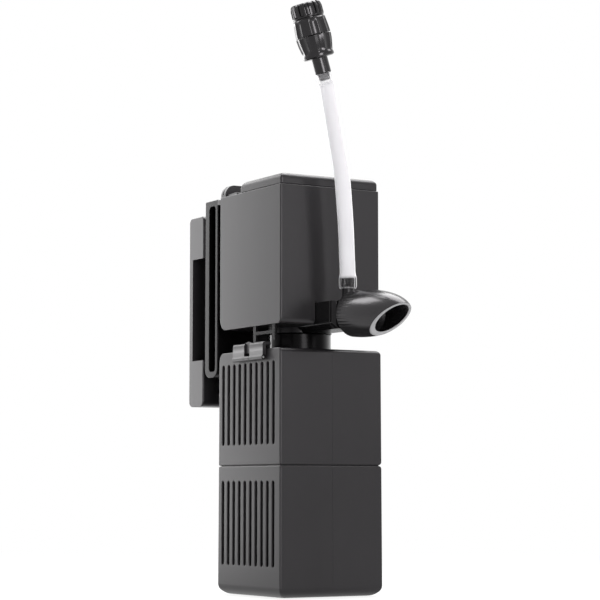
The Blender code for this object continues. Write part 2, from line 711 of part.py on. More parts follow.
def head_lid(material):
    x, front = HEAD_WIDTH / 2 - LID_INSET, BODY_DEPTH / 2 - LID_INSET
    foot = HEAD_TOP + GAP
    top_radii = (LID_FILLET, LID_FILLET, LID_REAR_FILLET)
    lid = fillet_box(
        "head_lid",
        (-x, -front, foot),
        (x, LID_REAR_Y, foot + LID_HEIGHT),
        CORNER_RADIUS,
        (0, 0, 0),
        top_radii,
        material,
    )
    inner_x = HEAD_WIDTH / 2 - HEAD_WALL - GAP
    inner_front = BODY_DEPTH / 2 - HEAD_WALL - GAP
    skirt_foot = foot - LID_SKIRT
    skirt = block("skirt", (-inner_x, -inner_front, skirt_foot), (inner_x, LID_REAR_Y - 0.2 * MM, foot + 1 * MM))
    hollow = block(
        "hollow",
        (-inner_x + LID_WALL, -inner_front + LID_WALL, skirt_foot - 1 * MM),
        (inner_x - LID_WALL, LID_REAR_Y - 3 * LID_WALL, foot + LID_HEIGHT - LID_WALL),
    )
    fused(lid, skirt)
    return shifted(cut(lid, hollow), HEAD_SHIFT, 0, 0)


def core_cover(material):
    """The cover of the potted motor: low under the lid and flush with the walls behind it."""
    x, y = HEAD_WIDTH / 2 - HEAD_WALL - GAP, BODY_DEPTH / 2 - HEAD_WALL - GAP
    foot = HEAD_TOP - CORE_COVER_DROP
    step = foot + CORE_COVER_THICKNESS
    deck = LID_REAR_Y + 0.8 * MM
    outline = [(-y, foot), (y, foot), (y, HEAD_TOP), (deck, HEAD_TOP), (deck, step), (-y, step)]
    return shifted(prism("core_cover", "X", outline, -x, x, material), HEAD_SHIFT, 0, 0)


def cable_gland(material):
    """The hood where the mains lead enters, with its grooved collar."""
    foot = HEAD_TOP + GAP
    right = GLAND_LEFT + GLAND_WIDTH
    front = BODY_DEPTH / 2 - 1.0 * MM
    back = front + GLAND_LENGTH
    outline = rounded_outline((GLAND_LEFT, foot), (right, foot + GLAND_HEIGHT), [0, 0, GLAND_RADIUS, GLAND_RADIUS], 5)
    hood = prism("cable_gland", "Y", outline, front, back, material)
    tongue_high = (right - 1 * MM, front + 1 * MM, foot + GLAND_TONGUE_HEIGHT)
    tongue = block("tongue", (GLAND_LEFT + 1 * MM, back - GLAND_TONGUE - GLAND_LENGTH, foot), tongue_high)
    fused(hood, tongue)
    inner = rounded_outline(
        (GLAND_LEFT + GLAND_GROOVE, foot - GLAND_HEIGHT),
        (right - GLAND_GROOVE, foot + GLAND_HEIGHT - GLAND_GROOVE),
        [0, 0, GLAND_RADIUS, GLAND_RADIUS],
        5,
    )
    groove_start = front + GLAND_LENGTH * 0.45
    reach = 3 * GLAND_GROOVE
    outer_low = (GLAND_LEFT - reach, groove_start, foot + GLAND_TONGUE_HEIGHT)
    groove = block("groove", outer_low, (right + reach, groove_start + GLAND_GROOVE, foot + GLAND_HEIGHT + reach))
    cut(groove, prism("groove_core", "Y", inner, front - reach, back + reach))
    middle = (GLAND_LEFT + right) / 2
    lead_z = foot + GLAND_HEIGHT / 2
    bore = rod("lead_bore", GLAND_BORE, (middle, back - 4.5 * MM, lead_z), (middle, back + reach, lead_z), 16)
    return cut(hood, groove, bore)


def sector(low, high, start, end, spoke, steps=4):
    """The outline of a window between two radii and two spokes of even width."""
    points = []
    for radius, one, two in ((low, start, end), (high, end, start)):
        trim = math.copysign(math.asin(spoke / 2 / radius), two - one)
        first, last = one + trim, two - trim
        angles = [first + (last - first) * i / steps for i in range(steps + 1)]
        points += [(radius * math.cos(a), radius * math.sin(a)) for a in angles]
    return points


def intake_neck(material):
    """The round neck that plugs into the upper module, with its spoked inlet disc and shaft boss."""
    foot = UPPER_TOP - NECK_DEPTH
    inner = NECK_RADIUS - NECK_WALL
    seal_z = UPPER_TOP - DECK_THICKNESS / 2
    groove = NECK_RADIUS - 1.0 * MM
    half = SEAL_RADIUS + GAP
    disc = NECK_TOP - NECK_DISC
    profile = [
        (inner, disc),
        (inner, foot),
        (NECK_RADIUS, foot),
        (NECK_RADIUS, seal_z - half),
        (groove, seal_z - half),
        (groove, seal_z + half),
        (NECK_RADIUS, seal_z + half),
        (NECK_RADIUS, NECK_TOP),
        (0, NECK_TOP),
        (0, NECK_TOP - BOSS_HEIGHT),
        (BOSS_RADIUS, NECK_TOP - BOSS_HEIGHT),
        (BOSS_RADIUS, disc),
    ]
    first = profile.index((0, NECK_TOP))
    neck = turned("intake_neck", profile[first + 1 :] + profile[: first + 1], 28, material)
    pocket_foot = NECK_TOP - BUSH_LENGTH - 2 * GAP
    tools = [rod("bush_pocket", BUSH_RADIUS + GAP, (0, 0, pocket_foot), (0, 0, NECK_TOP + 1 * MM), 12)]
    low, high = BOSS_RADIUS + INLET_HUB, inner - INLET_RIM
    for i in range(INLET_COUNT):
        outline = sector(low, high, 2 * math.pi * i / INLET_COUNT, 2 * math.pi * (i + 1) / INLET_COUNT, INLET_SPOKE)
        tools.append(prism("inlet", "Z", outline, disc - 1 * MM, NECK_TOP + 1 * MM))
    return cut(neck, *tools)


def neck_seal(material):
    """The O-ring in the neck's groove."""
    seal_z = UPPER_TOP - DECK_THICKNESS / 2
    centre = NECK_RADIUS - 1.0 * MM + SEAL_SQUEEZE_GAP + SEAL_RADIUS
    angles = [2 * math.pi * i / 5 for i in range(5)]
    profile = [(centre + SEAL_RADIUS * math.cos(a), seal_z + SEAL_RADIUS * math.sin(a)) for a in angles]
    return turned("neck_seal", profile, 28, material, ring=True)


def duct_outline(width, foot, top, chamfer):
    """A duct's section in X and Z, with its lower edges bevelled."""
    x = width / 2
    half = [(x - chamfer, foot), (x, foot + chamfer), (x, top)]
    return [(OUTLET_X + u, v) for u, v in half] + [(OUTLET_X - u, v) for u, v in reversed(half)]


def duct_bore(start, end):
    x, z = DUCT_BORE_WIDTH / 2, DUCT_BORE_HEIGHT / 2
    return block("duct_bore", (OUTLET_X - x, start, OUTLET_Z - z), (OUTLET_X + x, end, OUTLET_Z + z))


def pump_chamber(material):
    """The impeller's round chamber, with the outlet duct that leaves it forwards."""
    ring = rod("pump_chamber", CHAMBER_RADIUS, (0, 0, DUCT_FOOT), (0, 0, DUCT_TOP), 32, material)
    outline = duct_outline(DUCT_WIDTH, DUCT_FOOT, DUCT_TOP, DUCT_CHAMFER)
    fused(ring, prism("duct", "Y", outline, -DUCT_REACH, -CHAMBER_RADIUS / 2))
    inner = CHAMBER_RADIUS - CHAMBER_WALL
    cut(ring, rod("volute", inner, (0, 0, DUCT_FOOT - 1 * MM), (0, 0, DUCT_TOP + 1 * MM), 32))
    return cut(ring, duct_bore(-DUCT_REACH - 1 * MM, -inner / 2))


def motor_can(material):
    """The dry wall round the rotor: a flange over the chamber and a closed tube."""
    inner = CAN_RADIUS - CAN_WALL
    flange = CAN_FOOT + CAN_FLANGE
    ceiling = CAN_FOOT + CAN_HEIGHT
    pocket = ceiling + BUSH_TOP_LENGTH + GAP
    profile = [
        (0, pocket + CAN_TOP),
        (BOSS_RADIUS, pocket + CAN_TOP),
        (BOSS_RADIUS, ceiling + CAN_TOP),
        (CAN_RADIUS, ceiling + CAN_TOP),
        (CAN_RADIUS, flange),
        (CHAMBER_RADIUS, flange),
        (CHAMBER_RADIUS, CAN_FOOT),
        (inner, CAN_FOOT),
        (inner, ceiling),
        (BUSH_RADIUS + GAP, ceiling),
        (BUSH_RADIUS + GAP, pocket),
        (0, pocket),
    ]
    return turned("motor_can", profile, 20, material)


def stator_core(material):
    """The laminated core: a yoke, two side limbs and pole faces round the can."""
    foot = CAN_FOOT + CAN_FLANGE + CORE_FOOT
    top = foot + CORE_STACK
    x = CORE_WIDTH / 2
    core = block("stator_core", (-x, -CORE_FRONT, foot), (x, CORE_BACK, top), material)
    low, high = foot - 1 * MM, top + 1 * MM
    window = block(
        "window",
        (-CORE_WINDOW_WIDTH / 2, POLE_DEPTH, low),
        (CORE_WINDOW_WIDTH / 2, CORE_BACK - YOKE_WIDTH, high),
    )
    split = block("split", (-POLE_SPLIT / 2, -CORE_FRONT - 1 * MM, low), (POLE_SPLIT / 2, POLE_DEPTH + 1 * MM, high))
    return cut(core, window, split, rod("poles", CAN_RADIUS + GAP, (0, 0, low), (0, 0, high), 20))


def stator_coil(material):
    """The winding on its bobbin, round the yoke."""
    foot = CAN_FOOT + CAN_FLANGE + CORE_FOOT
    low = (CORE_BACK - YOKE_WIDTH - GAP, foot - GAP)
    high = (CORE_BACK + GAP, foot + CORE_STACK + GAP)
    wall = COIL_THICKNESS
    outer = rounded_outline(
        (low[0] - wall, low[1] - wall), (high[0] + wall, high[1] + wall), [0.8 * wall] * 4, 3
    )
    coil = prism("stator_coil", "X", outer, -COIL_LENGTH / 2, COIL_LENGTH / 2, material)
    inner = [(low[0], low[1]), (high[0], low[1]), (high[0], high[1]), (low[0], high[1])]
    return cut(coil, prism("yoke_hole", "X", inner, -COIL_LENGTH, COIL_LENGTH))


def rotor_foot():
    """The underside of the hub's disc, just inside the can's mouth."""
    return CAN_FOOT + 1.2 * MM


def impeller(material):
    """Straight blades round a hub, under a disc that meets the magnet."""
    bottom = DUCT_FOOT + IMPELLER_CLEARANCE
    disc = rotor_foot()
    top = disc + HUB_DISC
    blade_top = DUCT_TOP - 0.7 * MM
    profile = [(0, top), (MAGNET_RADIUS, top), (MAGNET_RADIUS, disc), (HUB_RADIUS, disc), (HUB_RADIUS, bottom), (0, bottom)]
    wheel = turned("impeller", profile, 16, material)
    blades = []
    for i in range(IMPELLER_BLADES):
        blade = block(
            "blade", (HUB_RADIUS / 2, -BLADE_THICKNESS / 2, bottom), (IMPELLER_RADIUS, BLADE_THICKNESS / 2, blade_top)
        )
        blades.append(moved(blade, Matrix.Rotation(2 * math.pi * i / IMPELLER_BLADES, 4, "Z")))
    fused(wheel, *blades)
    bore = SHAFT_RADIUS + SHAFT_CLEARANCE
    return cut(wheel, rod("bore", bore, (0, 0, bottom - 1 * MM), (0, 0, top + 1 * MM), 16))


def rotor_magnet(material):
    foot = rotor_foot() + HUB_DISC + GAP
    bore = SHAFT_RADIUS + SHAFT_CLEARANCE
    top = CAN_FOOT + CAN_HEIGHT - MAGNET_END_GAP
    profile = [(bore, foot), (MAGNET_RADIUS, foot), (MAGNET_RADIUS, top), (bore, top)]
    return turned("rotor_magnet", profile, 20, material, ring=True)


def rotor_shaft(material):
    foot = NECK_TOP - BUSH_LENGTH + GAP
    top = CAN_FOOT + CAN_HEIGHT + BUSH_TOP_LENGTH - GAP
    return rod("rotor_shaft", SHAFT_RADIUS, (0, 0, foot), (0, 0, top), 12, material)


def shaft_bush(name, foot, length, material):
    bore = SHAFT_RADIUS + SHAFT_CLEARANCE
    profile = [(bore, foot), (BUSH_RADIUS, foot), (BUSH_RADIUS, foot + length), (bore, foot + length)]
    return turned(name, profile, 12, material, ring=True)


# ---------------------------------------------------------------- outlet and nozzle


def ball_centre():
    return Vector((OUTLET_X, -BALL_FORWARD, OUTLET_Z))


def ribbed_ring(name, radius, foot, height, ribs, depth, material=None):
    """A short cylinder with fine upright ribs, closed at both ends."""
    outline = []
    for i in range(ribs):
        for share, r in ((0.0, radius), (0.25, radius), (0.5, radius - depth), (0.75, radius - depth)):
            angle = 2 * math.pi * (i + share) / ribs
            outline.append((r * math.cos(angle), r * math.sin(angle)))
    return prism(name, "Z", outline, foot, foot + height, material)


def outlet_ball(material):
    """The end piece of the duct: its ball for the nozzle and the nipple that draws in air."""
    start, end = DUCT_REACH + GAP, SOCKET_FRONT
    body = prism(
        "outlet_ball", "Y", duct_outline(DUCT_WIDTH, DUCT_FOOT, DUCT_TOP, DUCT_CHAMFER), -end, -start, material
    )
    x, front = DUCT_WIDTH / 2, -end - 0.01 * MM
    for side in SIDES.values():
        inner = OUTLET_X + side * (x - SOCKET_CHAMFER)
        outer = OUTLET_X + side * (x + 1 * MM)
        wedge = [(inner, front), (outer, front), (outer, front + SOCKET_CHAMFER + 1 * MM)]
        cut(body, prism("front_chamfer", "Z", wedge, DUCT_FOOT - 1 * MM, DUCT_TOP + 1 * MM))
    centre = ball_centre()
    steps = 10
    profile = [
        (BALL_RADIUS * math.sin(math.pi * i / steps), -BALL_RADIUS * math.cos(math.pi * i / steps))
        for i in range(steps + 1)
    ]
    profile[0], profile[-1] = (0, -BALL_RADIUS), (0, BALL_RADIUS)
    ball = moved(turned("ball", profile, 22), Matrix.Rotation(math.pi / 2, 4, "X"))
    shifted(ball, *centre)
    foot = DUCT_TOP - 1 * MM
    collar_foot = DUCT_TOP + NIPPLE_COLLAR_FOOT
    profile = [
        (0, foot),
        (NIPPLE_FOOT_RADIUS, foot),
        (NIPPLE_FOOT_RADIUS, DUCT_TOP + 0.3 * MM),
        (NIPPLE_RADIUS, DUCT_TOP + NIPPLE_CONE_HEIGHT),
        (NIPPLE_RADIUS, collar_foot + 1 * MM),
        (0, collar_foot + 1 * MM),
    ]
    nipple = turned("nipple", profile, 12)
    collar = ribbed_ring(
        "collar", NIPPLE_COLLAR_RADIUS, collar_foot, NIPPLE_COLLAR_HEIGHT, NIPPLE_RIBS, NIPPLE_RIB_DEPTH
    )
    for piece in (nipple, collar):
        shifted(piece, 0, -NIPPLE_FORWARD, 0)
    neck = rod("ball_neck", BALL_NECK_RADIUS, (centre.x, -end + 1 * MM, centre.z), centre, 20)
    fused(body, neck, ball, nipple, collar)
    air_top = collar_foot + NIPPLE_COLLAR_HEIGHT
    air = rod("air_bore", NIPPLE_BORE, (0, -NIPPLE_FORWARD, OUTLET_Z), (0, -NIPPLE_FORWARD, air_top + 1 * MM), 8)
    mouth = (centre.x, centre.y - 2 * BALL_RADIUS, centre.z)
    water = rod("water_bore", BALL_BORE, (centre.x, -start + 1 * MM, centre.z), mouth, 16)
    return cut(body, water, air)


def nozzle_frame():
    """The nozzle's own axis at rest: Z points out of its mouth, from the ball's centre."""
    swivel = Matrix.Rotation(NOZZLE_REST_SWIVEL, 4, "Z")
    droop = Matrix.Rotation(math.pi / 2 + NOZZLE_REST_DROOP, 4, "X")
    return Matrix.Translation(ball_centre()) @ swivel @ droop


def ball_seat(material):
    """The lining that grips the ball and carries the nozzle."""
    radius = BALL_RADIUS + GAP
    outer = radius + SEAT_WALL
    front = SEAT_LENGTH - EGG_REAR
    steps = 6
    start, end = math.asin(-EGG_REAR / radius), math.asin(front / radius)
    angles = [start + (end - start) * i / steps for i in range(steps + 1)]
    inner = [(radius * math.cos(a), radius * math.sin(a)) for a in angles]
    profile = [(outer, -EGG_REAR), (outer, front)] + inner[::-1]
    return moved(turned("ball_seat", profile, 22, material, ring=True), nozzle_frame())


def egg(name, radius, half_length, start, stop, steps, segments, material=None):
    """An ellipsoid about the nozzle's axis between two places, closed by discs."""
    first = math.asin(max(-1, (start - EGG_CENTRE) / half_length))
    last = math.asin(min(1, (stop - EGG_CENTRE) / half_length))
    angles = [first + (last - first) * i / steps for i in range(steps + 1)]
    surface = [(radius * math.cos(a), EGG_CENTRE + half_length * math.sin(a)) for a in angles]
    if surface[-1][0] < 0.01 * MM:
        surface[-1] = (0, surface[-1][1])
    else:
        surface.append((0, surface[-1][1]))
    return turned(name, [(0, surface[0][1])] + surface, segments, material)


def nozzle(material):
    """The egg-shaped outlet nozzle: cut off on a slant, hollow, and grooved at its rear for grip."""
    segments = 2 * GRIP_GROOVE_COUNT
    shell = egg("nozzle", EGG_RADIUS, EGG_HALF_LENGTH, -EGG_REAR, EGG_CENTRE + EGG_HALF_LENGTH, 11, segments, material)
    for vertex in shell.data.vertices:
        reach = max(0.0, 1 - (vertex.co.z + EGG_REAR) / GRIP_LENGTH)
        turn = round(math.atan2(vertex.co.y, vertex.co.x) / (2 * math.pi) * segments)
        if turn % 2 == 0 and vertex.co.xy.length > EGG_RADIUS / 2:
            vertex.co.xy *= 1 - min(1, 2 * reach) * GRIP_DEPTH / EGG_RADIUS
    seat = BALL_RADIUS + GAP + SEAT_WALL + GAP
    shoulder = SEAT_LENGTH - EGG_REAR + GAP
    passage = egg(
        "passage", EGG_RADIUS - EGG_WALL, EGG_HALF_LENGTH - EGG_WALL, shoulder + 2 * MM, EGG_CENTRE + EGG_HALF_LENGTH, 8, 24
    )
    pocket = rod("seat_pocket", seat, (0, 0, -EGG_REAR - 1 * MM), (0, 0, shoulder), 24)
    throat = rod("throat", BALL_RADIUS, (0, 0, shoulder - 1 * MM), (0, 0, shoulder + 4 * MM), 24)
    cut(shell, passage, pocket, throat)
    moved(shell, nozzle_frame())
    normal = Vector((0, -math.cos(MOUTH_SLOPE), -math.sin(MOUTH_SLOPE)))
    centre = nozzle_frame() @ Vector((0, 0, EGG_CENTRE))
    reach = 2 * EGG_HALF_LENGTH
    slab = block("mouth_cut", (-reach, -reach, 0), (reach, reach, reach))
    moved(slab, Matrix.Translation(centre + normal * MOUTH_DISTANCE) @ normal.to_track_quat("Z", "Y").to_matrix().to_4x4())
    return cut(shell, slab)


# ---------------------------------------------------------------- air line


def hose_route():
    """The air hose's own points, from above the nipple's collar to the valve's stem."""
    y = -NIPPLE_FORWARD
    start = Vector((0, y, DUCT_TOP + NIPPLE_COLLAR_FOOT + NIPPLE_COLLAR_HEIGHT + GAP))
    shares = (*HOSE_SHARES, (1.0, 1.0))
    return [start] + [start + Vector((-HOSE_LEAN * lean, 0, HOSE_HEIGHT * rise)) for lean, rise in shares]


def smooth_points(points, step):
    """Reads evenly spaced points from a smooth curve through the given ones."""
    before = points[0] * 2 - points[1]
    after = points[-1] * 2 - points[-2]
    padded = [before, *points, after]
    dense = []
    for a, b, c, d in zip(padded, padded[1:], padded[2:], padded[3:]):
        for i in range(20):
            t = i / 20
            dense.append(
                0.5 * (2 * b + (c - a) * t + (2 * a - 5 * b + 4 * c - d) * t**2 + (3 * b - a - 3 * c + d) * t**3)
            )
    dense.append(points[-1])
    lengths = [0.0]
    for one, two in zip(dense, dense[1:]):
        lengths.append(lengths[-1] + (two - one).length)
    count = max(2, round(lengths[-1] / step))
    result = []
    for i in range(count + 1):
        target = lengths[-1] * i / count
        j = next((k for k in range(1, len(lengths)) if lengths[k] >= target - 1e-12), len(lengths) - 1)
        share = (target - lengths[j - 1]) / max(lengths[j] - lengths[j - 1], 1e-12)
        result.append(dense[j - 1].lerp(dense[j], share))
    return result


def air_hose(material):
    """The clear hose: it stands on the nipple and leans back over the head."""
    points = smooth_points(hose_route(), HOSE_POINT_STEP)
    curve = bpy.data.curves.new("air_hose", "CURVE")
    curve.dimensions = "3D"
    curve.bevel_depth = HOSE_RADIUS
    curve.bevel_resolution = 3
    curve.use_fill_caps = True
    spline = curve.splines.new("POLY")
    spline.points.add(len(points) - 1)
    for place, point in zip(spline.points, points):
        place.co = (*point, 1)
    curve.materials.append(material)
    hose = bpy.data.objects.new("air_hose", curve)
    bpy.context.scene.collection.objects.link(hose)
    return hose


def valve_frame():
    """The valve's axis: Z runs up it, from the hose's end."""
    tilt = Matrix.Rotation(-VALVE_TILT, 4, "Y")
    end = hose_route()[-1]
    return Matrix.Translation(end) @ tilt @ Matrix.Translation((0, 0, GAP))


def fluted(name, profile, segments_per_flute, depth, material=None):
    """A turned body whose wide stretches have rounded flutes along them."""
    segments = FLUTES * segments_per_flute
    body = turned(name, profile, segments, material)
    for vertex in body.data.vertices:
        radius = vertex.co.xy.length
        if radius > FLANGE_RADIUS + 0.05 * MM:
            angle = math.atan2(vertex.co.y, vertex.co.x)
            vertex.co.xy *= 1 - depth / radius * (0.5 - 0.5 * math.cos(FLUTES * angle))
    return body


def valve_body(material):
    """The valve's fluted barrel on the stem that the hose meets."""
    barrel = STEM_LENGTH
    top = barrel + BARREL_LENGTH
    shoulder = barrel + 0.45 * BARREL_LENGTH
    profile = [
        (0, 0),
        (STEM_RADIUS, 0),
        (STEM_RADIUS, barrel),
        (FLANGE_RADIUS, barrel),
        (FLANGE_RADIUS, barrel + 1.8 * MM),
        (BARREL_RADIUS - 0.5 * MM, shoulder),
        (BARREL_RADIUS, shoulder + 1.4 * MM),
        (BARREL_RADIUS, top - 1.4 * MM),
        (FLANGE_RADIUS, top - 0.8 * MM),
        (FLANGE_RADIUS, top),
        (0, top),
    ]
    body = fluted("valve_body", profile, 3, FLUTE_DEPTH, material)
    hole = NEEDLE_RADIUS + GAP
    cut(body, rod("needle_hole", hole, (0, 0, top - NEEDLE_LENGTH - GAP), (0, 0, top + 1 * MM), 16))
    return moved(body, valve_frame())


def valve_knob(material):
    """The ribbed cap that turns to throttle the air, with its needle."""
    foot = STEM_LENGTH + BARREL_LENGTH + GAP
    top = foot + CAP_LENGTH
    groove = foot + CAP_GROOVE
    profile = [
        (0, foot),
        (FLANGE_RADIUS, foot),
        (FLANGE_RADIUS, foot + 0.6 * MM),
        (BARREL_RADIUS, foot + 1.4 * MM),
        (BARREL_RADIUS - 0.2 * MM, groove - 1.4 * MM),
        (FLANGE_RADIUS - 0.3 * MM, groove - 0.5 * MM),
        (FLANGE_RADIUS - 0.3 * MM, groove + 0.5 * MM),
        (CAP_RADIUS + 0.3 * MM, groove + 1.2 * MM),
        (CAP_RADIUS, top - 1.6 * MM),
        (CAP_RADIUS - 1.4 * MM, top),
        (0, top),
    ]
    knob = fluted("valve_knob", profile, 3, FLUTE_DEPTH, material)
    fused(knob, rod("needle", NEEDLE_RADIUS, (0, 0, foot + 1 * MM), (0, 0, foot - NEEDLE_LENGTH), 16))
    return moved(knob, valve_frame())


# ---------------------------------------------------------------- rail and holder


def slide_rail(material):
    """The rail behind the head: pocketed from both sides, with a T-slot for the holder's key."""
    x = RAIL_WIDTH / 2
    top = RAIL_BOTTOM_Z + RAIL_HEIGHT
    outline = rounded_outline((RAIL_FRONT_Y, RAIL_BOTTOM_Z), (RAIL_BACK_Y, top), [RAIL_CORNER, RAIL_CORNER, 1 * MM, 1 * MM])
    rail = prism("slide_rail", "X", outline, -x, x, material)
    pad_front = BODY_DEPTH / 2 + GAP
    half = RAIL_PAD_WIDTH / 2
    pad_feet = (top - HEAD_TOP_CHAMFER - RAIL_PAD_HEIGHT, HEAD_FOOT + HEAD_REAR_FILLET)
    pad_back = RAIL_FRONT_Y + RAIL_GROOVE_DEPTH + 1 * MM
    pads = [block("pad", (-half, pad_front, z), (half, pad_back, z + RAIL_PAD_HEIGHT)) for z in pad_feet]
    pocket_low = (RAIL_FRONT_Y + RAIL_FLANGE_FRONT, RAIL_BOTTOM_Z + RAIL_END_WALL)
    pocket_high = (RAIL_BACK_Y - RAIL_FLANGE_REAR, top - RAIL_END_WALL)
    pocket = rounded_outline(pocket_low, pocket_high, [RAIL_POCKET_CORNER] * 4)
    for side in SIDES.values():
        ends = sorted((side * (x - RAIL_POCKET_DEPTH), side * (x + 1 * MM)))
        cut(rail, prism("pocket", "X", pocket, *ends))
    groove = RAIL_GROOVE_WIDTH / 2
    groove_low = (-groove, RAIL_FRONT_Y - 1 * MM, RAIL_BOTTOM_Z - 1 * MM)
    cut(rail, block("front_groove", groove_low, (groove, RAIL_FRONT_Y + RAIL_GROOVE_DEPTH, top + 1 * MM)))
    fused(rail, *pads)
    slot_foot = RAIL_BOTTOM_Z + TEE_FLOOR
    opening, wide = TEE_OPENING / 2, TEE_WIDTH / 2
    lip = RAIL_BACK_Y - TEE_LIP
    return cut(
        rail,
        block("slot_mouth", (-opening, lip - 1 * MM, slot_foot), (opening, RAIL_BACK_Y + 1 * MM, top + 1 * MM)),
        block("slot_room", (-wide, lip - TEE_THICKNESS, slot_foot), (wide, lip, top + 1 * MM)),
    )


def cup_places():
    """The suction cups' centres on the holder's back."""
    heights = (HOLDER_BOTTOM_Z + CUP_MARGIN, HOLDER_BOTTOM_Z + HOLDER_HEIGHT - CUP_MARGIN)
    return [(x, z) for z in heights for x in (-CUP_OUT, CUP_OUT)]


def holder_frame(material):
    """The holder: two blocks with wells for the cups, a waist between them and the key for the rail."""
    x = HOLDER_WIDTH / 2
    top = HOLDER_BOTTOM_Z + HOLDER_HEIGHT
    outline = rounded_outline((HOLDER_FRONT_Y, HOLDER_BOTTOM_Z), (HOLDER_BACK_Y, top), [HOLDER_CORNER] * 4)
    frame = prism("holder_frame", "X", outline, -x, x, material)
    waist_foot = HOLDER_BOTTOM_Z + WAIST_FOOT
    for side in SIDES.values():
        inner = side * (x - WAIST_DEPTH)
        outer = side * (x + 1 * MM)
        low, high = sorted((inner, outer))
        radii = [0, 0, 0, WAIST_CORNER] if side > 0 else [0, 0, WAIST_CORNER, 0]
        waist = rounded_outline((low, HOLDER_FRONT_Y - 1 * MM), (high, HOLDER_BACK_Y - WAIST_BACK), radii, 5)
        cut(frame, prism("waist", "Z", waist, waist_foot, waist_foot + WAIST_HEIGHT))
    wells = []
    for cup_x, cup_z in cup_places():
        floor = HOLDER_BACK_Y - CUP_WELL_DEPTH
        wells.append(rod("well", CUP_WELL_RADIUS, (cup_x, floor, cup_z), (cup_x, HOLDER_BACK_Y + 1 * MM, cup_z), 24))
        wells.append(rod("stem_hole", CUP_NECK + GAP, (cup_x, floor - 2 * CUP_FLOOR, cup_z), (cup_x, floor + 1 * MM, cup_z), 12))
        wells.append(
            rod("front_pocket", CUP_POCKET, (cup_x, HOLDER_FRONT_Y - 1 * MM, cup_z), (cup_x, floor - CUP_FLOOR, cup_z), 16)
        )
    cut(frame, *wells)
    key_foot = RAIL_BOTTOM_Z + KEY_FOOT
    lip = RAIL_BACK_Y - TEE_LIP
    neck, head = TEE_OPENING / 2 - 0.4 * MM, TEE_WIDTH / 2 - 0.4 * MM
    thin = lip - TEE_THICKNESS + 0.4 * MM
    bar = [(-head, thin), (head, thin), (head, lip - GAP), (neck, lip - GAP)]
    stem = [(neck, HOLDER_FRONT_Y + 1 * MM), (-neck, HOLDER_FRONT_Y + 1 * MM), (-neck, lip - GAP), (-head, lip - GAP)]
    return fused(frame, prism("key", "Z", bar + stem, key_foot, key_foot + KEY_LENGTH))


def suction_cup(name, place, material):
    """A cup whose stem snaps through the floor of its well."""
    floor = HOLDER_BACK_Y - CUP_WELL_DEPTH
    lip = HOLDER_BACK_Y + CUP_PROUD
    under = floor - CUP_FLOOR
    profile = [
        (0, under - GAP - CUP_BUTTON_HEIGHT),
        (CUP_BUTTON * 0.7, under - GAP - CUP_BUTTON_HEIGHT),
        (CUP_BUTTON, under - GAP - CUP_BUTTON_HEIGHT * 0.4),
        (CUP_BUTTON, under - GAP),
        (CUP_NECK, under - GAP),
        (CUP_NECK, floor + GAP),
        (CUP_NECK * 1.8, floor + GAP),
        (CUP_RADIUS * 0.72, floor + 0.45 * CUP_WELL_DEPTH),
        (CUP_RADIUS, lip - 0.8 * MM),
        (CUP_RADIUS, lip),
        (CUP_RADIUS - CUP_THICKNESS, lip),
        (CUP_RADIUS * 0.62, floor + 0.6 * CUP_WELL_DEPTH),
        (CUP_RADIUS * 0.3, floor + 0.35 * CUP_WELL_DEPTH),
        (0, floor + 0.3 * CUP_WELL_DEPTH),
    ]
    cup = moved(turned(name, profile, 14, material), Matrix.Rotation(-math.pi / 2, 4, "X"))
    return shifted(cup, place[0], 0, place[1])


# ---------------------------------------------------------------- assembly


def clear_scene():
    for obj in list(bpy.data.objects):
        bpy.data.objects.remove(obj)


